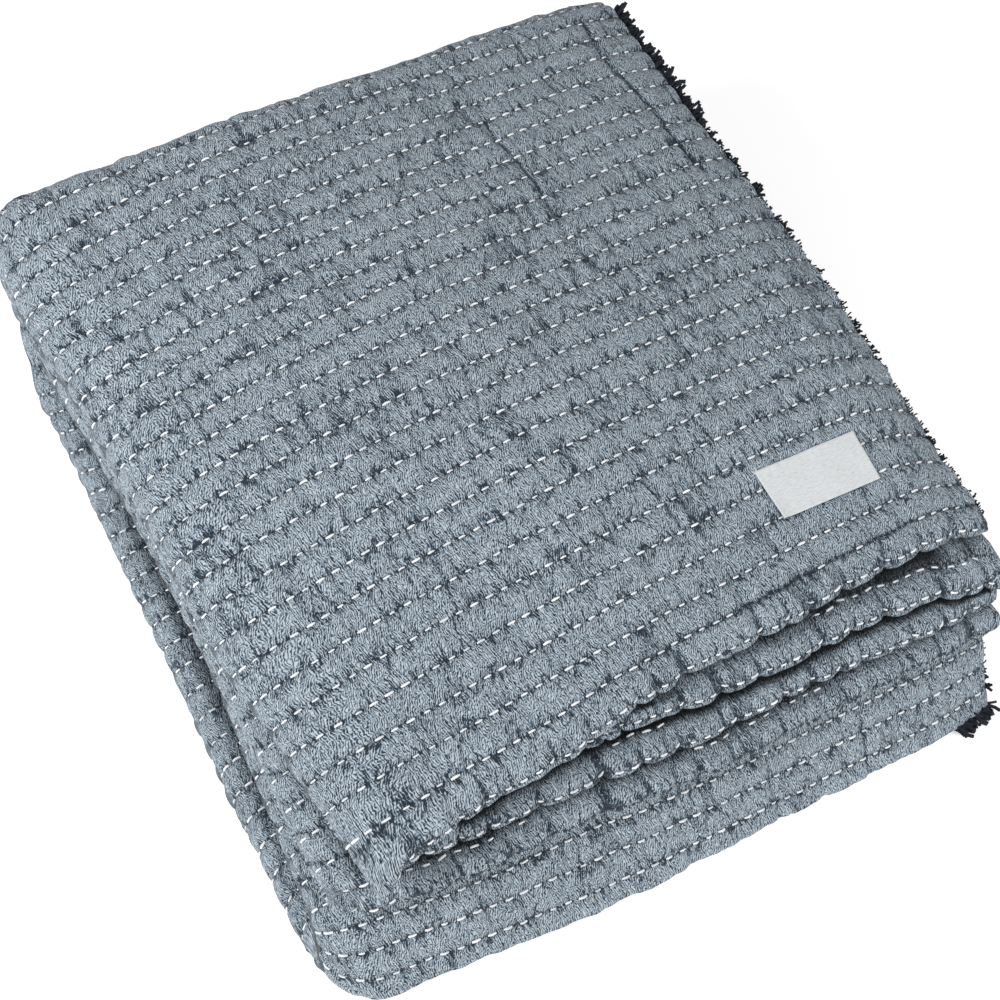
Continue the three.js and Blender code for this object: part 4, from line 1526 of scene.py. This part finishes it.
@dataclass(frozen=True)
class CrinkledGauze:
    """Cotton gauze, woven of dark and pale yarn and crinkled in the wash: matt, with a fine grain.

    The real yarns lie about 0.5 mm apart, too fine to show in the render, so they are drawn 1.5 mm
    apart. The wrinkles and creases have their real sizes.
    """

    dark: str = "27313c"
    middle: str = "75838f"
    pale: str = "b9c4cc"
    yarn_mm: float = 1.5
    yarn_long_mm: float = 2.8
    wrinkle_mm: float = 3.4
    wrinkle_long_mm: float = 13.0
    crease_mm: float = 15.0
    crease_long_mm: float = 75.0
    own_crease_mm: float = 9.0
    own_crease_long_mm: float = 30.0
    hole_from_middle_mm: float = 2.55
    hole_mm: float = 1.4
    contrast: float = 2.3
    roughness: float = 0.93
    sheen: float = 0.1

    def material(self, rows: StitchRows, grooved_row: int) -> bpy.types.Material:
        """Makes the gauze's material.

        Args:
            rows: The stitch rows, whose needle holes pull dimples into the gauze.
            grooved_row: The row that lies in a deep groove behind the top lip.

        Returns:
            The material.
        """
        settings = {
            "Sheen Weight": self.sheen,
            "Sheen Roughness": 0.5,
            "Specular IOR Level": 0.2,
        }
        material, tree, shader = principled(
            "Crinkled cotton gauze", self.middle, self.roughness, settings
        )
        uv = add_node(tree, "ShaderNodeUVMap", {"uv_map": "Cloth"}).outputs[0]
        split = add_node(tree, "ShaderNodeSeparateXYZ", None, {0: uv}).outputs
        sums = NodeSums(tree)
        calc, total, step = sums.calc, sums.total, sums.step
        noise, stray, valley = sums.noise, sums.stray, sums.valley
        times, minus = partial(calc, "MULTIPLY"), partial(calc, "SUBTRACT")
        over = partial(calc, "DIVIDE")

        a, phi = times(split[0], 1 / MM), times(split[1], 1 / MM)
        # the gauze is drawn askew by the sewing, a little otherwise in each patch
        lean = stray(a, phi, 26.0, 22.0, 0.5)
        bend = stray(a, phi, 17.0, 19.0, 3.5)
        # yarns: two families, to the left and to the right of the line square to the rows
        loose = stray(a, phi, 1.8, self.yarn_long_mm, 11.3, 1.0)
        turn_mm = 2 * math.pi / self.yarn_mm
        left_place = total(a, (phi, 0.42), (lean, 4.0), (loose, 3.3))
        right_place = total(a, (phi, -0.2), (bend, 3.0), (loose, 3.3))
        left_yarn = calc("SINE", times(left_place, turn_mm))
        right_yarn = calc("SINE", times(right_place, turn_mm * 1.05))
        patch = step(noise(a, phi, 11.0, 9.0, 23.1), 0.42, 0.58)
        cross_place = total(phi, (bend, 2.5))
        cross_yarn = noise(a, cross_place, self.yarn_long_mm * 0.7, self.yarn_mm * 0.4, 29.7)
        warp = total(left_yarn, (patch, minus(right_yarn, left_yarn)))
        warp = times(warp, step(loose, -0.2, 0.1, 0.35, 1.0))
        yarns = total(0.25, (warp, 0.3), (cross_yarn, 0.5))
        # wrinkles between the rows, and creases that run on over several rows
        drawn = total(a, (phi, -0.14), (lean, 13.0))
        lines = noise(drawn, phi, self.wrinkle_mm, self.wrinkle_long_mm, 31.3, 1.0)
        shown = step(noise(a, phi, 8.0, 8.0, 37.7), 0.38, 0.6)
        wrinkle = times(valley(lines, 0.036), shown)
        lines = total(a, (bend, 7.0))
        lines = noise(lines, phi, self.crease_mm, self.crease_long_mm, 41.9, 1.0)
        shown = step(noise(a, phi, 30.0, 40.0, 43.3), 0.4, 0.6)
        crease = times(valley(lines, 0.045), shown)
        # rows: each stitch's place, its needle holes and the groove it is pulled into
        row = calc("ROUND", over(phi, rows.spacing))
        off_row = minus(phi, times(row, rows.spacing))
        far_row = calc("ABSOLUTE", off_row)
        phase = calc("FLOORED_MODULO", times(row, rows.phase_step), 1.0)
        stitch = minus(over(a, rows.pitch), minus(phase, 0.5))
        turn = minus(calc("FLOORED_MODULO", stitch, 1.0), 0.5)
        gap = minus(times(calc("ABSOLUTE", turn), rows.pitch), self.hole_from_middle_mm)
        far = calc("SQRT", calc("MULTIPLY_ADD", gap, gap, times(off_row, off_row)))
        hole = step(far, 0.3, self.hole_mm, 1.0, 0.0)
        groove = step(far_row, 0.3, 2.6, 1.0, 0.0)
        deep = times(step(far_row, 0.5, 2.4, 1.0, 0.0), calc("COMPARE", row, grooved_row, 0.1))
        deep = times(deep, step(a, -90.0, 10.0, 0.3, 1.0))
        # short creases that spring from the needle holes like rays
        side = calc("SIGN", turn)
        hole_number = total(times(row, 13.17), (calc("FLOOR", stitch), 3.71), (side, 1.3))
        reach = calc("ADD", far, 0.3)
        rays = noise(over(times(gap, side), reach), over(off_row, reach), 0.42, 0.42, hole_number)
        near = times(step(far, 0.5, 6.0, 1.0, 0.0), step(far, 0.2, 1.0))
        ray = times(valley(rays, 0.07), near)
        # creases of one band only
        band = times(calc("FLOOR", over(phi, rows.spacing)), 5.17)
        lines = noise(drawn, phi, self.own_crease_mm, self.own_crease_long_mm, band, 1.0)
        own = times(valley(lines, 0.036), step(far_row, 2.0, 8.5, 1.0, 0.2))
        # the long creases and the painted shade of hidden places are known from the mesh
        marks = {}
        for key in ("painted_shade", "crease"):
            mark = add_node(tree, "ShaderNodeAttribute", {"attribute_name": key})
            marks[key] = mark.outputs["Fac"]
        painted_crease_shade = step(marks["crease"], 0.35, 0.95)
        blotch = stray(a, phi, 38.0, 30.0, 1.7, 1.0)
        # the colour: the yarns and random blotches, then painted shade, darker in the wrinkles,
        # creases, rays, needle holes and row grooves, in the grooved row, along the long creases
        # and where the cloth is hidden
        tone = total(
            calc("MULTIPLY_ADD", minus(yarns, 0.5), self.contrast, 0.62),
            (blotch, 0.15),
            (wrinkle, -0.34),
            (crease, -0.3),
            (own, -0.75),
            (ray, -0.32),
            (hole, -0.95),
            (groove, -0.1),
            (deep, -0.3),
            (painted_crease_shade, -0.6),
            (marks["painted_shade"], -0.3),
        )
        colour = add_ramp(tree, tone, {0.0: self.dark, 0.5: self.middle, 1.0: self.pale})
        # painted shade: the base colour darkens to 7 % deep under the lips and less between the
        # passes
        shade = step(marks["painted_shade"], 0.0, 0.9, 1.0, 0.07)
        feeds = {0: colour, "Scale": shade}
        shaded = add_node(tree, "ShaderNodeVectorMath", {"operation": "SCALE"}, feeds)
        tree.links.new(shaded.outputs[0], shader.inputs["Base Color"])
        # relief in millimetres
        height = total(
            times(yarns, 0.22),
            (wrinkle, -0.2),
            (crease, -0.3),
            (own, -0.25),
            (ray, -0.25),
            (hole, -0.6),
            (groove, -0.3),
            (deep, -0.5),
        )
        add_bump(tree, shader, height, MM, 1.0)
        return material


@dataclass(frozen=True)
class SpunThread:
    """Loosely spun cotton thread: matt, with a faint twist and uneven colour along it."""

    name: str
    colour: str
    dark: str
    roughness: float = 0.85

    def material(self) -> bpy.types.Material:
        """Makes the thread's material."""
        settings = {"Sheen Weight": 0.03}
        material, tree, shader = principled(self.name, self.colour, self.roughness, settings)
        feeds = {
            "Vector": add_node(tree, "ShaderNodeTexCoord").outputs["Object"],
            "Scale": 190.0,
            "Detail": 3.0,
        }
        noise = add_node(tree, "ShaderNodeTexNoise", None, feeds).outputs[0]
        colour = add_ramp(tree, noise, {0.3: self.dark, 0.65: self.colour})
        tree.links.new(colour, shader.inputs["Base Color"])
        add_bump(tree, shader, noise, 0.3 * MM, 0.6)
        return material


@dataclass(frozen=True)
class WovenTape:
    """Satin label tape: smooth and pale, with a fine rib across it."""

    colour: str = "d9dcdd"
    shade: str = "c6cacd"
    rib_mm: float = 0.9
    rib_long_mm: float = 4.0
    roughness: float = 0.6

    def material(self) -> bpy.types.Material:
        """Makes the tape's material."""
        settings = {"Sheen Weight": 0.1}
        material, tree, shader = principled(
            "Woven satin tape", self.colour, self.roughness, settings
        )
        uv = add_node(tree, "ShaderNodeUVMap", {"uv_map": "Tape"}).outputs[0]
        feeds = {0: uv, "Scale": (1000 / self.rib_long_mm, 1000 / self.rib_mm, 1)}
        scaled = add_node(tree, "ShaderNodeMapping", None, feeds).outputs[0]
        feeds = {"Vector": scaled, "Scale": 1.0, "Detail": 1.0}
        rib = add_node(tree, "ShaderNodeTexNoise", None, feeds).outputs[0]
        colour = add_ramp(tree, rib, {0.25: self.shade, 0.6: self.colour})
        tree.links.new(colour, shader.inputs["Base Color"])
        add_bump(tree, shader, rib, 0.2 * MM, 0.5)
        return material


# ---------------------------------------------------------------- sewing


@dataclass
class RunningStitches:
    """The white running stitches of the quilting, one short thread for each stitch that shows."""

    cloth: QuiltedCloth
    length: float = 4.5
    radius: float = 0.74
    rise: float = 0.5
    sides: int = 6
    seed: int = 4
    probe: float = 0.004
    last_place: float = 0.985
    left_end: float = -232.0

    def __post_init__(self) -> None:
        """Starts with no stitch placed."""
        self.spots: list[tuple[np.ndarray, np.ndarray, np.ndarray]] = []

    def across_place(
        self, a: np.ndarray, y: np.ndarray, level: Values
    ) -> tuple[np.ndarray, np.ndarray]:
        """The place across the strip of a distance along a row, and its turn on the left fold."""
        s = self.cloth.shape
        inset = s.inset(level)
        shoulder = s.left_line(y, level) + inset
        turn = np.maximum(0, (shoulder - a) * 2 / (inset + s.fold_radius))
        u_left = -np.sin(np.minimum(turn, np.pi / 2))
        u_right = (a - shoulder) / (s.right_line(y, level) - shoulder)
        return np.where(a < shoulder, u_left, u_right), turn

    def sew(
        self,
        run: Run,
        across: float,
        row: int,
        level: float,
        spot_y: Callable,
        spot_t: Callable,
        shown: Callable | None = None,
        to_a: float = 247.0,
    ) -> None:
        """Places the stitches of one row.

        Args:
            run: The run the row lies in.
            across: The face's place in the strip's thickness.
            row: The row's number, for its phase.
            level: Level of the run.
            spot_y: Y of the row as a function of x.
            spot_t: Turns u and y into the place along the run and the hem.
            shown: Tells from a point whether its stitch shows, if not all do.
            to_a: The greatest distance along the row.
        """
        rows, from_a = self.cloth.rows, -300.0
        n = np.arange(math.floor(from_a / rows.pitch), math.ceil(to_a / rows.pitch))
        a = rows.phase(row) + rows.pitch * n + 0.9 * soft_noise(n + 0.5, row + 0.5, 41)
        y = spot_y(a)
        u, turn = self.across_place(a, y, level)
        keep = (turn < 1.45) & (u < self.last_place) & (a > from_a) & (a < to_a)
        u, y = u[keep], y[keep]
        if len(u) == 0:
            return

        def place(u: np.ndarray, step: float = 0.0) -> np.ndarray:
            """Points of the row at places across the strip, moved along it by a step."""
            t, hem = spot_t(u, y)
            if step > 0:
                t = np.minimum(t + step, 1.0)
            elif step < 0:
                t = np.maximum(t + step, 0.0)
            return self.cloth.shape.point(run, u, t, across * rounding(u), hem)

        p = place(u)
        along = place(np.minimum(u + self.probe, 1.0)) - p
        forward = place(u, self.probe) - place(u, -self.probe)
        tangent = unit(along)
        normal = unit(np.cross(along, forward) * np.sign(across))
        for spot in zip(p, tangent, normal):
            if shown is None or shown(spot[0]):
                self.spots.append(spot)

    @staticmethod
    def straight(y: float, t: float, hem: float = 0.0) -> tuple[Callable, Callable]:
        """The functions for Y and for the place of a row that keeps both all along it."""
        return lambda a: y + 0 * a, lambda u, _: (t + 0 * u, hem)

    def plan(self) -> None:
        """Places the stitches of all rows that show."""
        c, s, rows = self.cloth, self.cloth.shape, self.cloth.rows

        def row_line(number: int) -> Callable:
            """Y of a row of the top as a function of x."""
            return lambda a: rows.row_y(number * rows.spacing, np.maximum(a, rows.left_limit))

        def top_t(u: np.ndarray, y: np.ndarray) -> tuple[np.ndarray, np.ndarray]:
            """Place along the top run."""
            start, _ = c.hem(u, 3, c.plies[0], "one")
            end = s.back_from(rounding(u))
            return (y - start) / (end - start), start

        for j in range(c.hem_number - 1):
            self.sew(Run.TOP, 1.0, j, 3, row_line(j), top_t)
        self.sew(Run.TOP, 1.0, c.hem_number - 1, 3, c.grooved_line, top_t, self.out_of_groove)
        back = c.ruler(Run.BACK, 1.0)
        j = 1
        while j * rows.spacing - c.back_phase < back.total * 0.93:
            t = back.t(j * rows.spacing - c.back_phase)
            y = float(s.point(Run.BACK, 0.5, t, 1.0)[1])
            self.sew(Run.BACK, 1.0, -j, lerp(3, 0, t), *self.straight(y, t))
            j += 1
        front = c.ruler(Run.FRONT, 1.0)
        j = 0
        while front.total - c.front_phase - j * rows.spacing > front.total * 0.17:
            t = front.t(front.total - c.front_phase - j * rows.spacing)
            y = float(s.point(Run.FRONT, 0.5, t, 1.0)[1])
            self.sew(Run.FRONT, 1.0, c.front_first + j, t, *self.straight(y, t))
            j += 1
        self.plan_hems()
        self.plan_left_folds()

    def out_of_groove(self, p: np.ndarray) -> bool:
        """Tells whether a stitch of the grooved row shows: few do along its deep middle part."""
        return not 55 < p[0] < 195 or float(soft_noise(p[0] / 10.0 + 0.3, 7.5, 44)) > 0.35

    def plan_hems(self) -> None:
        """Places the stitches of the lips' own rows, on their rounded noses."""
        c = self.cloth
        for level, ply, lip, over in (
            (3, c.plies[0], "one", None),
            (3, c.plies[2], "two", "one"),
            (2, c.plies[2], "three", "two"),
            (2, c.plies[0], "four", "three"),
        ):
            for k in (0, 1):
                n = np.arange(-30, 25)
                number = (c.hem_number if over is None else 0) - k
                a = c.rows.pitch * n + float(c.rows.phase(number))
                a = a + 0.8 * soft_noise(n + 0.5, level + k, 43)
                u, turn = self.across_place(a, np.full_like(a, -215.0), level)
                u = u[(turn < 1.3) & (u < 0.98)]
                p, _ = self.nose_row(u, level, ply, lip, k)
                beside, angle = self.nose_row(np.minimum(u + self.probe, 1.0), level, ply, lip, k)
                tangent = unit(beside - p)
                tilt = np.maximum(angle, 0)
                normal = np.stack([0 * tilt, -np.sin(tilt), np.cos(tilt)], -1)
                for spot in zip(p, tangent, normal):
                    if self.out_of_lips(spot[0], k, lip, over):
                        self.spots.append(spot)

    def nose_row(
        self, u: np.ndarray, level: int, ply: Ply, lip: str, k: int
    ) -> tuple[np.ndarray, np.ndarray]:
        """Points of a lip's own row (k = 0) or of the one behind it, with their turn."""
        c, s = self.cloth, self.cloth.shape
        first, second = c.pair(ply)
        # on the upper pass the plies lie the other way up
        up, down = first.outside, second.inside
        if level == 2:
            up, down = down, up
        start, radius = c.hem(u, level, ply, lip)
        x = s.x_at(u, start, level)
        high = s.pass_height(level, up * rounding(u), x, start)
        low = s.pass_height(level, down * rounding(u), x, start)
        angle = np.clip(-(c.hem_row + k * c.rows.spacing) / radius, -1.5, 2.2)
        on_nose = angle > 0
        y = np.where(on_nose, start - radius * np.sin(angle), start - angle * radius)
        z = np.where(on_nose, (high + low) / 2 + (high - low) / 2 * np.cos(angle), high)
        return np.stack([x, y, z], -1), angle

    def out_of_lips(self, p: np.ndarray, k: int, lip: str, over: str | None) -> bool:
        """Tells whether a stitch of a lip shows, out from under the lip over it."""
        if k == 0:
            # the lowest lip leans on the front face
            return lip != "four" or p[0] <= -190
        return over is not None and p[1] <= float(self.cloth.shape.front_at(p[0], over)) - 2.0

    def plan_left_folds(self) -> None:
        """Places the stitches that show on the folds at the left, below the top's."""
        for run, level in ((Run.BOTTOM, 0), (Run.LOWER, 1), (Run.UPPER, 2)):
            to_a = self.left_end + float(self.cloth.shape.inset(level)) * 0.55
            for across in (1.0, -1.0):
                for y, t, hem in self.cloth.side_rows(run, across):
                    self.sew(run, across, 0, level, *self.straight(y, t, hem), None, to_a)

    def build(self, ground: bpy.types.Object, material: bpy.types.Material) -> bpy.types.Object:
        """Makes the stitches.

        Args:
            ground: The finished cloth.
            material: The thread's finish.

        Returns:
            The stitches as one piece.
        """
        self.plan()
        surface = BVHTree.FromObject(ground, bpy.context.evaluated_depsgraph_get())
        places, runs, lifts = [], [], []
        for p, tangent, normal in self.spots:
            base = Vector((p - np.array([*self.cloth.offset, 0.0])) * MM)
            n = Vector(normal)
            hit, face, _, _ = surface.ray_cast(base + n * 0.006, -n, 0.012)
            if hit is None or face.dot(n) < 0.2:
                continue
            places.append(hit + face * 0.0001)
            runs.append(tangent)
            lifts.append((face * 0.5 + n * 0.5).normalized())
        rng = np.random.default_rng(self.seed)
        size = rng.uniform(0.72, 1.18, len(places))
        fields = {"run": np.array(runs), "lift": np.array(lifts), "size": size}
        stitches = point_cloud("running_stitches", np.array(places), fields)
        values = {
            "Length": self.length * MM,
            "Radius": self.radius * MM,
            "Rise": self.rise * MM,
            "Sides": self.sides,
            "Seed": self.seed,
        }
        bake_tree(stitches, thread_tree("Running stitches", material, False), values)
        keep_off_floor(stitches, 0.0)
        return stitches


# ---------------------------------------------------------------- fringe


@dataclass
class FrayedFringe:
    """The frayed navy threads along the cut edges of one pass."""

    cloth: QuiltedCloth
    name: str
    level: int
    start: float
    end: float
    length: Table
    front: float = 0.0
    step: float = 0.7
    radius: float = 0.85
    rise: float = 0.28
    sides: int = 3
    spread: float = 0.4
    sunk: float = 0.8
    denser: float = 2.2
    seed: int = 9

    def __post_init__(self) -> None:
        """Starts with no thread placed."""
        self.places: list[np.ndarray] = []
        self.runs: list[np.ndarray] = []
        self.sizes: list[np.ndarray] = []

    def build(self, material: bpy.types.Material) -> bpy.types.Object:
        """Makes the fringe of the pass, a band of threads on the edge of each ply."""
        rng = np.random.default_rng(self.seed + self.level)
        for ply in self.cloth.plies:
            self.edge_threads(ply, rng)
            if self.front > 0:
                self.front_threads(ply, rng)
        points = (np.concatenate(self.places) - np.array([*self.cloth.offset, 0])) * MM
        lifts = np.tile([0.0, 0.0, 1.0], (len(points), 1))
        fields = {"run": np.concatenate(self.runs), "lift": lifts}
        fields["size"] = np.concatenate(self.sizes)
        piece = point_cloud(self.name, points, fields)
        values = {
            "Length": 1 * MM,
            "Radius": self.radius * MM / 7,
            "Rise": self.rise * MM,
            "Sides": self.sides,
            "Spread": self.spread,
            "Seed": self.seed,
        }
        bake_tree(piece, thread_tree("Frayed threads", material, True), values)
        keep_off_floor(piece, 0.0002)
        return piece

    def edge_threads(self, ply: Ply, rng: np.random.Generator) -> None:
        """Adds the threads along the cut edge of one ply."""
        s = self.cloth.shape
        side = 1 if self.level in (3, 1) else -1
        # the ply that shows from above is the densest
        seen = ply.index == 0 and self.level == 3
        count = int((self.end - self.start) / self.step * (self.denser if seen else 1))
        y = np.linspace(self.start, self.end, count) + rng.uniform(-0.6, 0.6, count)
        x = s.right_line(y, self.level) - self.sunk
        share = rng.uniform(0.12, 0.88, count)
        z = s.pass_height(self.level, lerp(ply.inside, ply.outside, share), x, y)
        long = read_table(self.length, "y", y, "long") * rng.uniform(0.65, 1.25, count)
        bunch = 0.5 + 0.5 * soft_noise(y / 4.5, ply.index * 3.3, 61)
        lean = 0.35 * soft_noise(y / 7.0, ply.index * 2.1, 62)
        up = (share - 0.5) * 0.9 * side
        self.places.append(np.stack([x, y, z], -1))
        self.runs.append(unit(np.stack([np.ones(count), lean, up - 0.12], -1)))
        self.sizes.append(long * lerp(0.8, 1.25, bunch))

    def front_threads(self, ply: Ply, rng: np.random.Generator) -> None:
        """Adds the threads up the cut edge of the front turn, longest in a tuft at the floor."""
        s = self.cloth.shape
        count = int(50 / self.step)
        t = rng.uniform(0.22, 0.96, count)
        across = lerp(ply.inside, ply.outside, rng.uniform(0.12, 0.95, count))
        tuft = clamp01((0.5 - t) / 0.15)
        inward = np.where(t < 0.38, rng.uniform(0.0, 0.07, count), 0.0)
        across = np.where(inward > 0, 1.0, across)
        sideways = -0.15 - 0.75 * tuft - 8 * inward + rng.uniform(-0.3, 0.3, count)
        up = rng.uniform(-0.3, 0.3, count)
        place = s.point(Run.FRONT, 1.0 - inward, t, across)
        self.places.append(place - np.array([self.sunk, 0.0, 0.0]))
        self.runs.append(unit(np.stack([1.0 - 9 * inward, sideways, up], -1)))
        self.sizes.append(lerp(4.0, self.front, tuft) * rng.uniform(0.6, 1.2, count))


# the frayed edge of each pass: its node, level, first and last Y, threads' length and tuft
PLAIN_LENGTH = table("y long", (-260, 6.5), (0, 6.5), (270, 7))
FRINGES = (
    (
        "fringe_top",
        3,
        -200,
        262,
        table(
            "y long",
            (-260, 4.6),
            (58, 4.8),
            (66, 9.0),
            (74, 6.4),
            (130, 6.8),
            (150, 9.5),
            (270, 10.5),
        ),
        0.0,
    ),
    ("fringe_upper", 2, -226, 205, PLAIN_LENGTH, 0.0),
    ("fringe_lower", 1, -240, 205, PLAIN_LENGTH, 0.0),
    (
        "fringe_bottom",
        0,
        -262,
        240,
        table("y long", (-290, 12), (-240, 11), (-200, 7), (260, 7)),
        11.0,
    ),
)


# ---------------------------------------------------------------- label


@dataclass
class BlankLabel:
    """The blank woven label that lies near the right front corner of the top."""

    cloth: QuiltedCloth
    corners: Table = table("x y", (109, -152), (183, -156.5), (107, -119), (183, -123))
    size: tuple[float, float] = (76.0, 33.0)
    thickness: float = 0.7
    over_puffs: float = 0.25
    edge_up: float = 0.5
    corner_up: float = 1.1
    across: int = 48
    along: int = 24

    def build(self, material: bpy.types.Material) -> bpy.types.Object:
        """Makes the label, laid on the puffs with its edges a little up.

        Args:
            material: The tape's finish.

        Returns:
            The label.
        """
        front_left, front_right, rear_left, rear_right = (
            np.array([corner["x"], corner["y"]], float) for corner in self.corners
        )
        u, v = np.meshgrid(
            np.linspace(0, 1, self.across + 1), np.linspace(0, 1, self.along + 1), indexing="ij"
        )
        front = lerp(front_left, front_right, u[..., None])
        rear = lerp(rear_left, rear_right, u[..., None])
        x, y = np.moveaxis(lerp(front, rear, v[..., None]), -1, 0)
        s = self.cloth.shape
        wide, deep = self.size
        edge = np.minimum(np.minimum(u, 1 - u) * wide, np.minimum(v, 1 - v) * deep)
        uneven = 0.5 + 0.5 * soft_noise(x / 21, y / 15, 72)
        z = s.top_height(x, y) + s.puff + self.over_puffs
        z = z + 0.35 * soft_noise(x / 17, y / 13, 71)
        z = z + self.edge_up * clamp01(1 - edge / 4) * uneven
        z = z + self.corner_up * clamp01(1 - u * 9) * clamp01(1 - v * 1.6)
        mx, my = self.cloth.offset
        low = np.stack([x - mx, y - my, z], -1).reshape(-1, 3)
        points = np.concatenate([low, low + np.array([0, 0, self.thickness])]) * MM
        ids = np.arange(u.size).reshape(u.shape)
        square = np.stack([ids[:-1, :-1], ids[1:, :-1], ids[1:, 1:], ids[:-1, 1:]], -1)
        square = square.reshape(-1, 4)
        quads = [square[:, [0, 3, 2, 1]], square + u.size]
        rims = ((ids[:, 0], False), (ids[:, -1], True), (ids[0, :], True), (ids[-1, :], False))
        for rim, turn in rims:
            q = np.stack([rim[:-1], rim[1:], rim[1:] + u.size, rim[:-1] + u.size], -1)
            quads.append(q[:, ::-1] if turn else q)
        mesh = new_mesh("label", points, np.concatenate(quads), np.zeros((0, 3), int))
        set_uv(mesh, "Tape", points[:, :2])
        obj = add_object("blank_label", mesh, material)
        bevel = obj.modifiers.new("Soft edge", "BEVEL")
        bevel.width = 0.2 * MM
        bevel.segments = 1
        bevel.limit_method = "ANGLE"
        return obj


# ---------------------------------------------------------------- studio


@dataclass
class Studio:
    """A pale floor, soft light and the camera."""

    offset: tuple[float, float]
    azimuth: float = -38.32
    elevation: float = 59.52
    roll: float = 9.29
    focal_px: float = 1349.16
    width_px: float = 1000.0
    sensor_mm: float = 36.0
    place: tuple[float, float, float] = (-298.7, -386.1, 849.4)
    floor_half: float = 4.0
    floor_glow: float = 0.45
    world_glow: float = 0.42
    aim: tuple[float, float, float] = (0.0, 0.0, 0.08)

    def floor(self) -> bpy.types.Object:
        """Makes the floor."""
        mesh = bpy.data.meshes.new("floor")
        half = self.floor_half
        corners = [(-half, -half, 0), (half, -half, 0), (half, half, 0), (-half, half, 0)]
        mesh.from_pydata(corners, [], [(0, 1, 2, 3)])
        glow = {"Emission Color": (1, 1, 1, 1), "Emission Strength": self.floor_glow}
        material, _, _ = principled("Matt white paper", "f6f6f6", 0.9, glow)
        return add_object("floor", mesh, material)

    @staticmethod
    def way(azimuth: float, elevation: float) -> Vector:
        """The direction that lies at an azimuth and an elevation in degrees."""
        a, e = math.radians(azimuth), math.radians(elevation)
        return Vector((math.sin(a) * math.cos(e), -math.cos(a) * math.cos(e), math.sin(e)))

    def camera(self) -> None:
        """Makes the camera at the photograph's viewing angle."""
        a, r = math.radians(self.azimuth), math.radians(self.roll)
        back = self.way(self.azimuth, self.elevation)
        right = Vector((math.cos(a), math.sin(a), 0.0))
        up = back.cross(right)
        turned_right = math.cos(r) * right + math.sin(r) * up
        turned_up = math.cos(r) * up - math.sin(r) * right
        data = bpy.data.cameras.new("camera")
        data.sensor_width = self.sensor_mm
        data.lens = self.sensor_mm * self.focal_px / self.width_px
        data.clip_end = 20
        camera = add_object("camera", data)
        turn = Matrix((turned_right, turned_up, back)).transposed().to_4x4()
        place = (np.array(self.place) - np.array([*self.offset, 0.0])) * MM
        camera.matrix_world = Matrix.Translation(place) @ turn
        bpy.context.scene.camera = camera

    def light(
        self, name: str, azimuth: float, elevation: float, far: float, size: float, power: float
    ) -> None:
        """Adds a soft square light that looks at the stack."""
        way = self.way(azimuth, elevation)
        data = bpy.data.lights.new(name, "AREA")
        data.size = size
        data.energy = power
        turn = way.to_track_quat("Z", "Y").to_matrix().to_4x4()
        place = Matrix.Translation(way * far + Vector(self.aim))
        add_object(name, data).matrix_world = place @ turn

    def lights(self) -> None:
        """Lights the stack from all round, most from the left and the front."""
        world = bpy.data.worlds.new("Soft white room")
        world.use_nodes = True
        ground = world.node_tree.nodes["Background"]
        ground.inputs["Color"].default_value = (1, 1, 1, 1)
        ground.inputs["Strength"].default_value = self.world_glow
        bpy.context.scene.world = world
        bpy.context.scene.view_settings.view_transform = "Standard"
        self.light("key", 12, 38, 1.8, 0.7, 13)
        self.light("left", -95, 36, 1.4, 0.6, 12)


# ---------------------------------------------------------------- the whole bedspread


def main() -> None:
    """Builds the bedspread's pieces and the studio."""
    logging.basicConfig(level=logging.INFO, format="%(name)s: %(message)s")
    low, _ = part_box("label")
    # the stack's axes lie so that the label's corner falls on its solid's
    corner = [min(row[key] for row in BlankLabel.corners) for key in ("x", "y")]
    offset = (corner[0] - low[0] / MM, corner[1] - low[1] / MM)
    log.info("shift of the stack's axes: %.3f %.3f mm", *offset)
    white = SpunThread("White cotton thread", "ffffff", "ccd3d9").material()
    navy = SpunThread("Navy cotton thread", "141d2e", "070b14", 0.9).material()
    tape = WovenTape().material()

    builder = QuiltedCloth(StackShape(), StitchRows(), offset)
    gauze = CrinkledGauze().material(builder.rows, builder.hem_number - 1)
    builder.build()
    cloth = builder.finish_mesh("quilted_cloth", gauze)
    stitches = RunningStitches(builder).build(cloth, white)
    fringes = []
    for node, *sizes in FRINGES:
        name = node.replace("fringe", "frayed")
        fringes.append((FrayedFringe(builder, name, *sizes).build(navy), node))
    label = BlankLabel(builder).build(tape)
    for piece in (cloth, stitches, *(p for p, _ in fringes), label):
        log.info("%s: %d triangles", piece.name, triangles(piece))

    for piece, node, slot in (
        (cloth, "bedspread_cloth", "gauze"),
        (label, "label", "label_tape"),
        *((p, n, "navy_thread") for p, n in fringes),
    ):
        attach(piece, "root")
        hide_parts(node)
    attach(stitches, "root")

    studio = Studio(offset)
    studio.floor()
    studio.camera()
    studio.lights()


if __name__ == "__main__":
    main()
